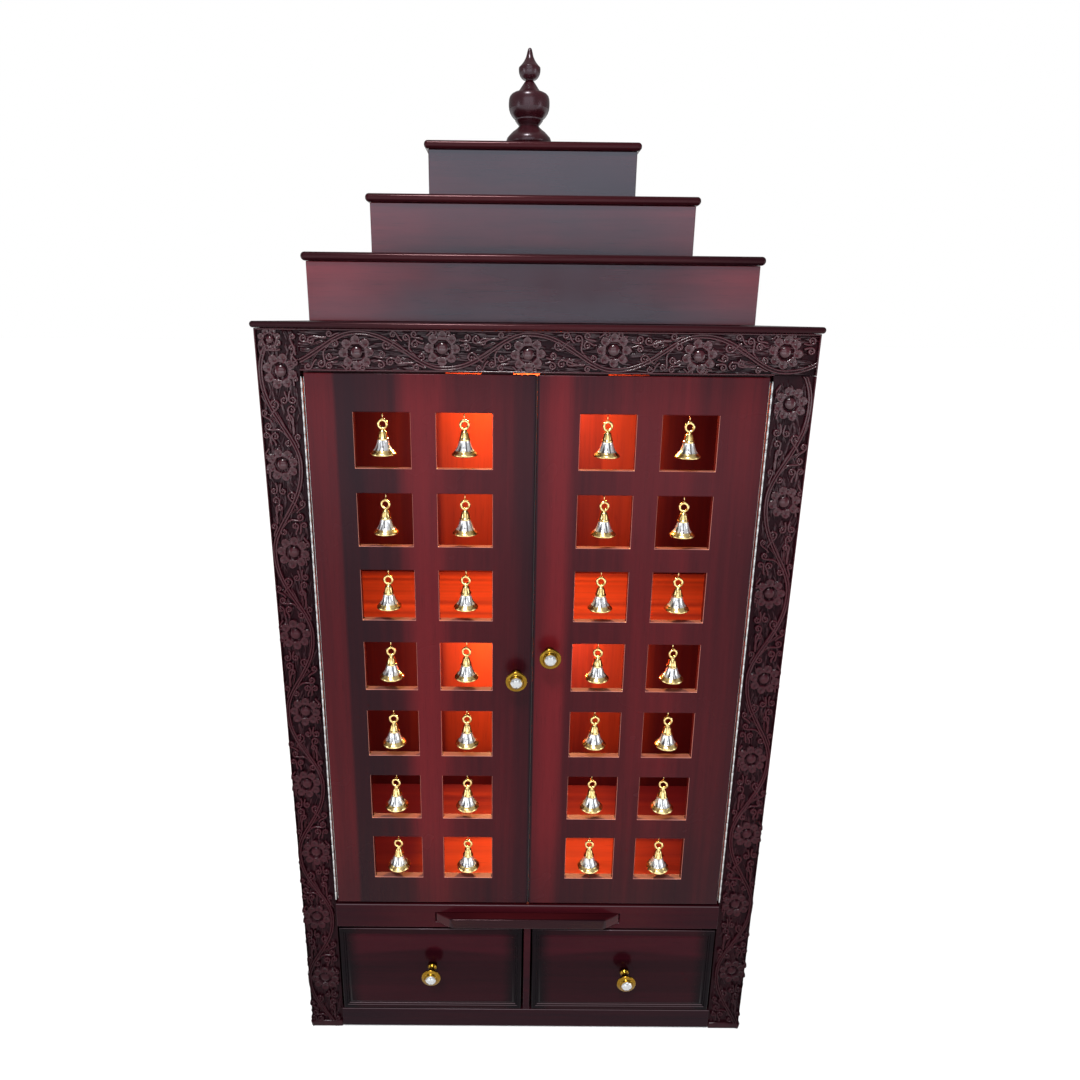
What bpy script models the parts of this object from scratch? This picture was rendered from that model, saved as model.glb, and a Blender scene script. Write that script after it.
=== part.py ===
"""Home temple: a stained shrine cabinet with a carved frame, bell doors, a stepped roof and a finial.

Metres, +Z up, front towards -Y. The origin is under the middle of the whole object, on the floor.
Depths are first given from the frame's front face, and FRONT_Y moves them to the origin.
"""

import math

import bmesh
import bpy
from mathutils import Matrix, Vector

# ---------------------------------------------------------------- driving dimensions
CLEAR = 0.0003  # between pieces that touch

WIDTH = 0.610
DEPTH = 0.300
CABINET_H = 0.9646
KNOB_REACH = 0.0265
FRONT_Y = (KNOB_REACH - DEPTH) / 2

TOP_T = 0.007
TOP_OVERHANG = 0.0035
SIDE_T = 0.012
SHELF_T = 0.010
BACK_T = 0.009
BACK_RECESS = 0.0145

FRAME_W = 0.046
FRAME_T = 0.018
OPENING_TOP = 0.9130

DOOR_T = 0.010
DOOR_SET_BACK = 0.0005
DOOR_BOTTOM = 0.2150
DOOR_TOP = 0.9108
DOOR_EDGE_X = 0.2545
DOOR_MEETING_GAP = 0.0016
WINDOW = 0.063
WINDOW_COLUMNS = (0.0800, 0.1715)
WINDOW_ROWS = 7
WINDOW_TOP_ROW_Z = 0.8375
WINDOW_PITCH = 0.0918

HINGE_R = 0.0016
HINGE_LEAF_T = 0.0007
HINGE_LEAF_DEPTH = 0.0105
HINGE_AXIS_X = 0.2570
HINGE_AXIS_DEPTH = -0.0004

NICHE_FLOOR_Z = 0.2095
SHELF_Z = 0.590
SHELF_SET_BACK = 0.045

RAIL_BOTTOM = 0.1741
RAIL_TOP = 0.2110
SLOT_BOTTOM = 0.1830
SLOT_TOP = 0.1985
SLOT_HALF = 0.1245
TRAY_T = 0.0146
TRAY_HALF = 0.1235
TRAY_TIP_HALF = 0.1010
TRAY_LIP = 0.012
TRAY_DEPTH = 0.235

BASE_RAIL_BOTTOM = 0.0036
BASE_TOP = 0.0335
BASE_T = 0.009
DIVIDER_T = 0.009

DRAWER_BOTTOM = 0.0346
DRAWER_TOP = 0.1710
DRAWER_INNER_X = 0.0072
DRAWER_OUTER_X = 0.2560
DRAWER_FRONT_T = 0.016
DRAWER_DEPTH = 0.245
DRAWER_SIDE_H = 0.110
DRAWER_WALL = 0.009

ROOF_SHIFT = -0.005  # the stepped roof was fixed a little left of the cabinet's middle
ROOF_FIRST_INSET = 0.052
ROOF_STEP_INSET = 0.0626
ROOF_TOPS = (1.0386, 1.1079, 1.1772)
ROOF_BOARD_T = 0.0095
ROOF_OVERHANG = 0.005
ROOF_WALL = 0.009

FINIAL_H = 0.1178
FINIAL_X = -0.0095

BELL_H = 0.0330
BELL_RIM_R = 0.015
BELL_LOOP_R = 0.0037
BELL_LOOP_WIRE = 0.0015
BELL_DROP = 0.0065

RELIEF_GROUND = 0.0045
RELIEF_BORDER = 0.0026
FLOWER_R = 0.0200
VINE_SWING = 0.0160

COLLECTION = bpy.data.collections.new("home_temple")
CUTTERS = bpy.data.collections.new("cutters")


def clear_scene():
    for obj in list(bpy.data.objects):
        bpy.data.objects.remove(obj, do_unlink=True)
    bpy.context.scene.collection.children.link(COLLECTION)
    bpy.context.scene.collection.children.link(CUTTERS)


# ---------------------------------------------------------------- materials
def finish(name, colour, roughness, metallic=0.0):
    made = bpy.data.materials.new(name)
    made.use_nodes = True
    shader = made.node_tree.nodes["Principled BSDF"]
    shader.inputs["Base Color"].default_value = (*colour, 1.0)
    shader.inputs["Roughness"].default_value = roughness
    shader.inputs["Metallic"].default_value = metallic
    return made


FRAME_WOOD = finish("carved_rosewood_stain", (0.060, 0.018, 0.020), 0.40)
PANEL_WOOD = finish("rosewood_stain", (0.120, 0.024, 0.024), 0.25)
INNER_WOOD = finish("niche_stain", (0.300, 0.060, 0.030), 0.35)
BRASS = finish("brass", (0.780, 0.550, 0.200), 0.22, 1.0)
BELL_METAL = finish("bell_metal", (0.830, 0.740, 0.520), 0.20, 1.0)
STEEL = finish("hinge_steel", (0.720, 0.720, 0.720), 0.30, 1.0)


# ---------------------------------------------------------------- makers
def keep(obj, material, parent=None, smooth_angle=None):
    """Puts a finished piece in the object's collection, with its material and parent."""
    COLLECTION.objects.link(obj)
    obj.data.materials.clear()
    obj.data.materials.append(material)
    if smooth_angle:
        obj.data.shade_smooth()
        obj.data.set_sharp_from_angle(angle=smooth_angle)
    if parent:
        obj.location = obj.location - parent.location
        obj.parent = parent
    return obj


def as_cutter(obj):
    """Puts a helper solid in the cutters' collection, out of every render."""
    CUTTERS.objects.link(obj)
    obj.hide_render = True
    obj.display_type = "WIRE"
    return obj


def axis_empty(name, x, depth, z):
    """An empty on a joint's axis, which carries the pieces that move about it."""
    empty = bpy.data.objects.new(name, None)
    empty.location = (x, FRONT_Y + depth, z)
    empty.empty_display_size = 0.02
    COLLECTION.objects.link(empty)
    return empty


def box(name, xs, depths, zs):
    """A plain board between the given limits, with its origin at its middle."""
    low = Vector((min(xs), FRONT_Y + min(depths), min(zs)))
    high = Vector((max(xs), FRONT_Y + max(depths), max(zs)))
    size = high - low
    shape = bmesh.new()
    bmesh.ops.create_cube(shape, size=1.0)
    bmesh.ops.scale(shape, vec=size, verts=shape.verts)
    mesh = bpy.data.meshes.new(name)
    shape.to_mesh(mesh)
    shape.free()
    obj = bpy.data.objects.new(name, mesh)
    obj.location = (low + high) / 2
    return obj


def round_edges(obj, width):
    """Rounds every edge of a board but those of its back."""
    shape = bmesh.new()
    shape.from_mesh(obj.data)
    weight = shape.edges.layers.float.new("bevel_weight_edge")
    for edge in shape.edges:
        at_back = all(vertex.co.y > 0 for vertex in edge.verts)
        edge[weight] = 0.0 if at_back else 1.0
    shape.to_mesh(obj.data)
    shape.free()
    bevel = obj.modifiers.new("round_edges", "BEVEL")
    bevel.width = width
    bevel.segments = 2
    bevel.limit_method = "WEIGHT"
    return obj


def plate(name, outline, thickness, location, rotation=(0.0, 0.0, 0.0), holes=()):
    """A flat outline with holes, extruded to its thickness and made a welded mesh."""
    curve = bpy.data.curves.new(name, "CURVE")
    curve.dimensions = "2D"
    curve.fill_mode = "BOTH"
    curve.extrude = thickness / 2
    for loop in (outline, *holes):
        spline = curve.splines.new("POLY")
        spline.points.add(len(loop) - 1)
        for point, (u, v) in zip(spline.points, loop):
            point.co = (u, v, 0.0, 1.0)
        spline.use_cyclic_u = True
    source = bpy.data.objects.new(name + "_outline", curve)
    bpy.context.scene.collection.objects.link(source)
    graph = bpy.context.evaluated_depsgraph_get()
    mesh = bpy.data.meshes.new_from_object(source.evaluated_get(graph))
    bpy.data.objects.remove(source, do_unlink=True)
    bpy.data.curves.remove(curve)
    shape = bmesh.new()
    shape.from_mesh(mesh)
    bmesh.ops.remove_doubles(shape, verts=shape.verts, dist=1e-6)
    bmesh.ops.recalc_face_normals(shape, faces=shape.faces)
    shape.to_mesh(mesh)
    shape.free()
    mesh.name = name
    obj = bpy.data.objects.new(name, mesh)
    obj.location = location
    obj.rotation_euler = rotation
    return obj


UPRIGHT = (math.radians(90), 0.0, 0.0)  # an outline in X and Z, its thickness along Y
SIDEWAYS = (math.radians(90), 0.0, math.radians(90))  # an outline in Y and Z, its thickness along X


def rectangle(u0, u1, v0, v1):
    return [(u0, v0), (u1, v0), (u1, v1), (u0, v1)]


def turned(name, profile, steps):
    """A turned piece about its own Z axis, from a profile that runs down its outer side."""
    shape = bmesh.new()
    points = [shape.verts.new((radius, 0.0, height)) for radius, height in profile]
    for upper, lower in zip(points, points[1:]):
        shape.edges.new((upper, lower))
    mesh = bpy.data.meshes.new(name)
    shape.to_mesh(mesh)
    shape.free()
    obj = bpy.data.objects.new(name, mesh)
    screw = obj.modifiers.new("turn", "SCREW")
    screw.steps = steps
    screw.render_steps = steps
    screw.use_merge_vertices = True
    screw.merge_threshold = 1e-5
    screw.use_smooth_shade = True
    return obj


def boolean(obj, other, operation, crosses_itself=False):
    modifier = obj.modifiers.new(operation.lower(), "BOOLEAN")
    modifier.operation = operation
    modifier.solver = "EXACT"
    modifier.use_self = crosses_itself
    modifier.object = other


# ---------------------------------------------------------------- carving
def rosette(shape, centre, turn):
    """A carved flower: eight blunt petals round a boss in a deep socket. Heights are above the ground."""
    petals = 8
    half_petal = math.radians(13.5)
    foot, lip_height, socket_height, boss_height = -0.0015, 0.0038, 0.0005, 0.0045
    corners = ((-half_petal, 1.0, 0.0028), (half_petal, 1.0, 0.0028), (math.pi / petals, 0.74, 0.0010))
    feet, brim, lips, sockets = [], [], [], []
    for number in range(petals):
        axis = turn + 2 * math.pi * number / petals
        for aside, reach, height in corners:
            feet.append(shape.verts.new(centre + polar(reach * FLOWER_R, axis + aside, foot)))
            brim.append(shape.verts.new(centre + polar(reach * FLOWER_R, axis + aside, height)))
        lips.append(shape.verts.new(centre + polar(0.45 * FLOWER_R, axis, lip_height)))
        sockets.append(shape.verts.new(centre + polar(0.36 * FLOWER_R, axis, socket_height)))
    boss = shape.verts.new(centre + Vector((0.0, 0.0, boss_height)))
    shape.faces.new(list(reversed(feet)))
    for step in range(len(feet)):
        after = (step + 1) % len(feet)
        shape.faces.new((feet[step], feet[after], brim[after], brim[step]))
    for number in range(petals):
        after = (number + 1) % petals
        right, left, notch = brim[3 * number : 3 * number + 3]
        shape.faces.new((right, left, lips[number]))
        shape.faces.new((left, notch, lips[number]))
        shape.faces.new((notch, brim[3 * after], lips[after]))
        shape.faces.new((notch, lips[after], lips[number]))
        shape.faces.new((lips[number], lips[after], sockets[after], sockets[number]))
        shape.faces.new((sockets[number], sockets[after], boss))


def polar(reach, angle, height):
    return Vector((reach * math.cos(angle), reach * math.sin(angle), height))


def leaf(shape, root, direction, length, width):
    """A pointed leaf with a ridge, lying on the ground from its root along a direction."""
    buried = 0.0008
    ridge = 0.0036
    angle = math.atan2(direction.y, direction.x)
    middle = root + Vector((math.cos(angle), math.sin(angle), 0.0)) * length / 2
    place = Matrix.Translation(middle + Vector((0.0, 0.0, (ridge - buried) / 2)))
    turn = Matrix.Rotation(angle, 4, "Z")
    stretch = Matrix.Diagonal((length / 2, width / 2, 1.0, 1.0))
    bmesh.ops.create_cone(
        shape,
        cap_ends=True,
        segments=4,
        radius1=1.0,
        radius2=0.0,
        depth=ridge + buried,
        matrix=place @ turn @ stretch,
    )


def vine(shape, flower_x, pitch, swing):
    """One length of the vine's ridge, from under one flower's edge to under the next one's far edge."""
    steps = 3
    half_width = 0.0032
    buried = -0.0011
    ridge = 0.0034
    tucked = 0.07
    sections = []
    for step in range(steps + 1):
        share = tucked + (1.0 - 2 * tucked) * step / steps
        centre = Vector((flower_x + pitch * share, swing * math.cos(math.pi * share), 0.0))
        slope = Vector((pitch, -swing * math.pi * math.sin(math.pi * share), 0.0)).normalized()
        across = Vector((-slope.y, slope.x, 0.0)) * half_width
        section = [
            shape.verts.new(centre - across + Vector((0.0, 0.0, buried))),
            shape.verts.new(centre + Vector((0.0, 0.0, ridge))),
            shape.verts.new(centre + across + Vector((0.0, 0.0, buried))),
        ]
        sections.append(section)
    for here, after in zip(sections, sections[1:]):
        for side in range(3):
            other = (side + 1) % 3
            shape.faces.new((here[side], here[other], after[other], after[side]))
    shape.faces.new(list(reversed(sections[0])))
    shape.faces.new(sections[-1])


def relief(name, first_flower, pitch, flowers, swing, matrix):
    """The flowers, vine and leaves of one carved board. Local X runs along the board, Z stands out of it."""
    shape = bmesh.new()
    for number in range(flowers):
        rosette(shape, Vector((first_flower + pitch * number, 0.0, 0.0)), 0.2 * number)
    for number in range(-1, flowers):
        flower_x = first_flower + pitch * number
        side = swing if number % 2 == 0 else -swing
        vine(shape, flower_x, pitch, side)
        crossing = flower_x + pitch / 2
        for way in (1.0, -1.0):
            aside = way * math.copysign(1.0, side)
            root = Vector((crossing - way * 0.011, aside * 0.003, 0.0))
            leaf(shape, root, Vector((way, aside * 0.48, 0.0)), 0.036, 0.0110)
    bmesh.ops.recalc_face_normals(shape, faces=shape.faces)
    bmesh.ops.transform(shape, matrix=matrix, verts=shape.verts)
    bmesh.ops.recalc_face_normals(shape, faces=shape.faces)
    mesh = bpy.data.meshes.new(name + "_relief")
    shape.to_mesh(mesh)
    shape.free()
    return as_cutter(bpy.data.objects.new(name + "_relief", mesh))


def carved_board(name, outline, ground, clip, flowers_on):
    """A frame board: its ground is sunk between plain borders, and the relief stands on it."""
    board = plate(name, outline, FRAME_T, (0.0, FRONT_Y + FRAME_T / 2, 0.0), UPRIGHT)
    sink = plate(name + "_ground", ground, 2 * RELIEF_GROUND, (0.0, FRONT_Y, 0.0), UPRIGHT)
    boolean(board, as_cutter(sink), "DIFFERENCE")
    limit = plate(name + "_limit", clip, FRAME_T, (0.0, FRONT_Y + RELIEF_GROUND, 0.0), UPRIGHT)
    boolean(flowers_on, as_cutter(limit), "INTERSECT", crosses_itself=True)
    boolean(board, flowers_on, "UNION")
    return keep(board, FRAME_WOOD)


def stile(name, side, top, ground, first_flower_z, pitch, flowers, swing):
    """An upright of the frame, from the floor up, with its outer bottom corner eased."""
    outer = side * WIDTH / 2
    inner = side * (WIDTH / 2 - FRAME_W)
    eased = 0.004
    outline = [(inner, 0.0), (outer - side * eased, 0.0), (outer, eased), (outer, top), (inner, top)]
    clip = rectangle(inner + side * CLEAR, outer - side * CLEAR, eased, top - CLEAR)
    # Local X runs down the board from its top, local Y across it, local Z out of its face.
    frame = Matrix(
        (
            (0.0, -1.0, 0.0, (inner + outer) / 2),
            (0.0, 0.0, -1.0, FRONT_Y + RELIEF_GROUND),
            (-1.0, 0.0, 0.0, top),
            (0.0, 0.0, 0.0, 1.0),
        )
    )
    carving = relief(name, top - first_flower_z, pitch, flowers, swing, frame)
    return carved_board(name, outline, ground, clip, carving)


def carved_frame():
    """The left upright runs to the top; the rail butts against it and runs out over the right upright."""
    top = CABINET_H - TOP_T - CLEAR
    half = WIDTH / 2
    inner = half - FRAME_W
    ground_top = top - RELIEF_BORDER
    ground_low = OPENING_TOP + RELIEF_BORDER
    strip_outer = half - RELIEF_BORDER
    strip_inner = inner + RELIEF_BORDER
    past = 0.01  # how far a ground runs past the edge that it is open at
    left_ground = [
        (-strip_outer, -past),
        (-strip_inner, -past),
        (-strip_inner, ground_low),
        (-inner + past, ground_low),
        (-inner + past, ground_top),
        (-strip_outer, ground_top),
    ]
    rail_ground = [
        (-inner - past, ground_low),
        (strip_inner, ground_low),
        (strip_inner, OPENING_TOP - past),
        (strip_outer, OPENING_TOP - past),
        (strip_outer, ground_top),
        (-inner - past, ground_top),
    ]
    right_ground = rectangle(strip_inner, strip_outer, -past, OPENING_TOP + past)
    right_top = OPENING_TOP - CLEAR
    stile("frame_stile_left", -1, top, left_ground, 0.9133, 0.1034, 9, VINE_SWING)
    stile("frame_stile_right", 1, right_top, right_ground, 0.8826, 0.1116, 8, -VINE_SWING)
    rail_left = -inner + CLEAR
    outline = rectangle(rail_left, half, OPENING_TOP, top)
    clip = rectangle(rail_left + CLEAR, half - CLEAR, OPENING_TOP + CLEAR, top - CLEAR)
    # Local X runs along the rail, local Y up it, local Z out of its face.
    frame = Matrix(
        (
            (1.0, 0.0, 0.0, 0.0),
            (0.0, 0.0, -1.0, FRONT_Y + RELIEF_GROUND),
            (0.0, 1.0, 0.0, (top + OPENING_TOP) / 2),
            (0.0, 0.0, 0.0, 1.0),
        )
    )
    carving = relief("frame_top_rail", -0.1963, 0.093, 6, VINE_SWING, frame)
    carved_board("frame_top_rail", outline, rail_ground, clip, carving)


# ---------------------------------------------------------------- carcass
def carcass():
    behind_frame = FRAME_T + CLEAR
    back_face = DEPTH - BACK_RECESS - BACK_T
    side_inner = WIDTH / 2 - SIDE_T
    inside = side_inner - CLEAR
    under_top = CABINET_H - TOP_T - CLEAR
    for word, side in (("left", -1), ("right", 1)):
        xs = (side * side_inner, side * WIDTH / 2)
        panel = box("side_panel_" + word, xs, (behind_frame, DEPTH), (0.0, under_top))
        keep(panel, PANEL_WOOD)
    boards = (
        ("back_panel", INNER_WOOD, back_face, back_face + BACK_T, BASE_TOP - BASE_T, under_top),
        ("niche_floor", INNER_WOOD, behind_frame, back_face - CLEAR, NICHE_FLOOR_Z - SHELF_T, NICHE_FLOOR_Z),
        ("niche_shelf", INNER_WOOD, SHELF_SET_BACK, back_face - CLEAR, SHELF_Z - SHELF_T, SHELF_Z),
        ("base_board", PANEL_WOOD, behind_frame, back_face - CLEAR, BASE_TOP - BASE_T, BASE_TOP),
    )
    for name, wood, near, far, low, high in boards:
        keep(box(name, (-inside, inside), (near, far), (low, high)), wood)
    top = box(
        "top_board",
        (-WIDTH / 2 - TOP_OVERHANG, WIDTH / 2 + TOP_OVERHANG),
        (-TOP_OVERHANG, DEPTH),
        (CABINET_H - TOP_T, CABINET_H),
    )
    keep(round_edges(top, 0.0026), PANEL_WOOD)


def lower_front():
    """The rails and the divider that make the tray's slot and the two drawer openings."""
    inner = WIDTH / 2 - FRAME_W - CLEAR
    slot = rectangle(-SLOT_HALF, SLOT_HALF, SLOT_BOTTOM, SLOT_TOP)
    rail = plate(
        "tray_rail",
        rectangle(-inner, inner, RAIL_BOTTOM, RAIL_TOP),
        FRAME_T,
        (0.0, FRONT_Y + FRAME_T / 2, 0.0),
        UPRIGHT,
        [slot],
    )
    keep(rail, PANEL_WOOD)
    base = box("base_rail", (-inner, inner), (0.0, FRAME_T), (BASE_RAIL_BOTTOM, BASE_TOP))
    keep(base, PANEL_WOOD)
    back_face = DEPTH - BACK_RECESS - BACK_T
    low = BASE_TOP + CLEAR
    step = FRAME_T + CLEAR
    profile = [
        (0.0, low),
        (back_face - CLEAR, low),
        (back_face - CLEAR, SLOT_BOTTOM),
        (step, SLOT_BOTTOM),
        (step, RAIL_BOTTOM - CLEAR),
        (0.0, RAIL_BOTTOM - CLEAR),
    ]
    divider = plate("drawer_divider", profile, DIVIDER_T, (0.0, FRONT_Y, 0.0), SIDEWAYS)
    keep(divider, PANEL_WOOD)


# ---------------------------------------------------------------- doors
def window_centres(side):
    """The middles of one door's windows, by row and column, counted from the top and from outside."""
    for row in range(WINDOW_ROWS):
        for column, x in enumerate(sorted(WINDOW_COLUMNS, reverse=True)):
            yield row + 1, column + 1, side * x, WINDOW_TOP_ROW_Z - row * WINDOW_PITCH


def door(word, side, axis):
    half = WINDOW / 2
    edges = (side * DOOR_MEETING_GAP / 2, side * DOOR_EDGE_X)
    outline = rectangle(min(edges), max(edges), DOOR_BOTTOM, DOOR_TOP)
    holes = [rectangle(x - half, x + half, z - half, z + half) for _, _, x, z in window_centres(side)]
    depth = FRONT_Y + DOOR_SET_BACK + DOOR_T / 2
    leaf_panel = plate("door_" + word, outline, DOOR_T, (0.0, depth, 0.0), UPRIGHT, holes)
    keep(leaf_panel, PANEL_WOOD, axis)


def piano_hinge(word, side):
    """The barrel and the frame's leaf of one full-height hinge."""
    tangent_gap = 0.0001  # the leaf meets the barrel just inside its outermost line
    end_gap = 0.0025
    outer = HINGE_R - tangent_gap
    inner = outer - HINGE_LEAF_T
    start = math.degrees(math.acos(inner / HINGE_R))
    arc_steps = 8
    outline = [(outer, HINGE_LEAF_DEPTH), (inner, HINGE_LEAF_DEPTH)]
    for step in range(arc_steps + 1):
        angle = math.radians(start + (360.0 - start) * step / arc_steps)
        outline.append((HINGE_R * math.cos(angle), HINGE_R * math.sin(angle)))
    outline.append((outer, HINGE_R / 2))
    outline = [(side * u, v) for u, v in outline]
    low = DOOR_BOTTOM + end_gap
    high = DOOR_TOP - end_gap
    place = (side * HINGE_AXIS_X, FRONT_Y + HINGE_AXIS_DEPTH, (low + high) / 2)
    keep(plate("piano_hinge_" + word, outline, high - low, place), STEEL, None, math.radians(50))


# ---------------------------------------------------------------- bells
def bell_mesh():
    """One small hanging bell with its loop and hook, hollow below. Its origin is at the rim's middle."""
    profile = (
        (0.0, BELL_H),
        (0.0060, BELL_H - 0.0030),
        (0.0095, 0.0095),
        (BELL_RIM_R, 0.0),
        (0.0, 0.0180),
    )
    cup = turned("bell_cup", profile, 6)
    CUTTERS.objects.link(cup)
    graph = bpy.context.evaluated_depsgraph_get()
    mesh = bpy.data.meshes.new_from_object(cup.evaluated_get(graph))
    bpy.data.objects.remove(cup, do_unlink=True)
    body = as_cutter(bpy.data.objects.new("bell_body", mesh))

    loop_sunk, stem_sunk, stem_r = 0.0004, 0.0006, 0.0009
    loop_z = BELL_H + BELL_LOOP_R - loop_sunk
    bpy.ops.mesh.primitive_torus_add(
        major_segments=5,
        minor_segments=3,
        major_radius=BELL_LOOP_R,
        minor_radius=BELL_LOOP_WIRE,
        location=(0.0, 0.0, loop_z),
        rotation=UPRIGHT,
    )
    loop = bpy.context.object
    loop.name = "bell_loop"
    for collection in list(loop.users_collection):
        collection.objects.unlink(loop)
    as_cutter(loop)

    top = loop_z + BELL_LOOP_R
    stem_low = top - stem_sunk
    stem_high = top + BELL_LOOP_WIRE + BELL_DROP - CLEAR
    stem_shape = bmesh.new()
    bmesh.ops.create_cone(
        stem_shape,
        cap_ends=True,
        segments=3,
        radius1=stem_r,
        radius2=stem_r,
        depth=stem_high - stem_low,
        matrix=Matrix.Translation((0.0, 0.0, (stem_high + stem_low) / 2)),
    )
    stem_mesh = bpy.data.meshes.new("bell_hook")
    stem_shape.to_mesh(stem_mesh)
    stem_shape.free()
    stem = as_cutter(bpy.data.objects.new("bell_hook", stem_mesh))

    boolean(body, loop, "UNION")
    boolean(body, stem, "UNION")
    graph = bpy.context.evaluated_depsgraph_get()
    joined = bpy.data.meshes.new_from_object(body.evaluated_get(graph))
    joined.name = "bell"
    for helper in (body, loop, stem):
        bpy.data.objects.remove(helper, do_unlink=True)
    return joined, stem_high


def bells(word, side, axis, mesh, hang_height):
    depth = FRONT_Y + DOOR_SET_BACK + DOOR_T / 2
    for row, column, x, z in window_centres(side):
        bell = bpy.data.objects.new(f"bell_{word}_r{row}_c{column}", mesh)
        bell.location = (x, depth, z + WINDOW / 2 - CLEAR - hang_height)
        keep(bell, BELL_METAL, axis)


# ---------------------------------------------------------------- knobs
def knob(name, x, z, face_depth, axis):
    """A turned brass knob with a crystal set in its face, standing out from a front."""
    reach = KNOB_REACH + face_depth - CLEAR
    profile = (
        (0.0, reach),
        (0.0064, reach - 0.0020),
        (0.0076, reach - 0.0046),
        (0.0130, reach - 0.0062),
        (0.0122, reach - 0.0090),
        (0.0038, reach - 0.0130),
        (0.0038, 0.0020),
        (0.0065, 0.0),
        (0.0, 0.0),
    )
    obj = turned(name, profile, 9)
    obj.location = (x, FRONT_Y + face_depth - CLEAR, z)
    obj.rotation_euler = UPRIGHT
    keep(obj, BRASS, axis)


# ---------------------------------------------------------------- drawers and tray
def drawer(word, side, axis):
    """An open box with a moulded slab front."""
    name = "drawer_" + word
    box_inset = 0.003
    bottom_t = 0.006
    low = BASE_TOP + CLEAR
    front_xs = (side * DRAWER_INNER_X, side * DRAWER_OUTER_X)
    front = box(name, front_xs, (0.0, DRAWER_FRONT_T), (DRAWER_BOTTOM, DRAWER_TOP))
    mould_front(front.data)
    inner_x = side * (DRAWER_INNER_X + box_inset)
    outer_x = side * (DRAWER_OUTER_X - box_inset)
    body = box(
        name + "_box",
        (inner_x, outer_x),
        (DRAWER_FRONT_T / 2, DRAWER_DEPTH),
        (low, low + DRAWER_SIDE_H),
    )
    boolean(front, as_cutter(body), "UNION")
    hollow = box(
        name + "_hollow",
        (inner_x + side * DRAWER_WALL, outer_x - side * DRAWER_WALL),
        (DRAWER_FRONT_T, DRAWER_DEPTH - DRAWER_WALL),
        (low + bottom_t, DRAWER_TOP),
    )
    boolean(front, as_cutter(hollow), "DIFFERENCE")
    keep(front, PANEL_WOOD, axis)


def mould_front(mesh):
    """Rounds the edges of a drawer's front and cuts a shallow groove round its field."""
    edge_round = 0.003
    margin, slope, groove_w, groove_depth = 0.0050, 0.0010, 0.0028, 0.0016
    shape = bmesh.new()
    shape.from_mesh(mesh)
    field = min(shape.faces, key=lambda face: face.calc_center_median().y)
    bmesh.ops.bevel(
        shape,
        geom=list(field.edges),
        offset=edge_round,
        segments=2,
        affect="EDGES",
        profile=0.5,
    )
    for inset, rise in ((margin, 0.0), (slope, -groove_depth), (groove_w, 0.0), (slope, groove_depth)):
        shape.normal_update()
        facing = [face for face in shape.faces if face.normal.y < -0.99]
        field = max(facing, key=lambda face: face.calc_area())
        bmesh.ops.inset_individual(shape, faces=[field], thickness=inset, depth=rise)
    shape.to_mesh(mesh)
    shape.free()


def tray(axis):
    """The pull-out board, whose lip stands out of its slot with its corners cut back."""
    outline = [
        (-TRAY_HALF, TRAY_DEPTH),
        (-TRAY_HALF, 0.0),
        (-TRAY_TIP_HALF, -TRAY_LIP),
        (TRAY_TIP_HALF, -TRAY_LIP),
        (TRAY_HALF, 0.0),
        (TRAY_HALF, TRAY_DEPTH),
    ]
    middle = (SLOT_BOTTOM + SLOT_TOP) / 2
    board = plate("pull_out_tray", outline, TRAY_T, (0.0, FRONT_Y, middle))
    keep(board, PANEL_WOOD, axis)


# ---------------------------------------------------------------- roof
def roof():
    """Three hollow boxes of falling size, each under a board with a rounded edge, flush at the back."""
    below = CABINET_H
    for number, top in enumerate(ROOF_TOPS):
        inset = ROOF_FIRST_INSET + number * ROOF_STEP_INSET
        half = WIDTH / 2 - inset
        board_low = top - ROOF_BOARD_T
        low = below + CLEAR
        high = board_low - CLEAR
        rim = rectangle(-half, half, inset, DEPTH)
        hollow = rectangle(-half + ROOF_WALL, half - ROOF_WALL, inset + ROOF_WALL, DEPTH - ROOF_WALL)
        tier = plate(
            f"roof_tier_{number + 1}",
            rim,
            high - low,
            (ROOF_SHIFT, FRONT_Y, (low + high) / 2),
            holes=[hollow],
        )
        keep(tier, PANEL_WOOD)
        board = box(
            f"roof_board_{number + 1}",
            (ROOF_SHIFT - half - ROOF_OVERHANG, ROOF_SHIFT + half + ROOF_OVERHANG),
            (inset - ROOF_OVERHANG, DEPTH),
            (board_low, top),
        )
        keep(round_edges(board, 0.0038), PANEL_WOOD)
        below = top


def finial():
    """The turned spire: a foot, a waist, a ball with a cone on it, a second bulb and a point."""
    profile = (
        (0.0, 1.0),
        (0.0045, 0.922),
        (0.0084, 0.866),
        (0.0133, 0.800),
        (0.0130, 0.760),
        (0.0077, 0.706),
        (0.0052, 0.694),
        (0.0097, 0.630),
        (0.0154, 0.578),
        (0.0195, 0.570),
        (0.0250, 0.520),
        (0.0259, 0.450),
        (0.0228, 0.375),
        (0.0168, 0.300),
        (0.0129, 0.256),
        (0.0178, 0.193),
        (0.0250, 0.136),
        (0.0288, 0.095),
        (0.0290, 0.0),
        (0.0, 0.0),
    )
    steps = 12
    obj = turned("finial", [(radius, FINIAL_H * share) for radius, share in profile], steps)
    inset = ROOF_FIRST_INSET + 2 * ROOF_STEP_INSET
    obj.location = (FINIAL_X, FRONT_Y + (inset + DEPTH) / 2, ROOF_TOPS[-1] + CLEAR)
    keep(obj, PANEL_WOOD)


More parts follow.
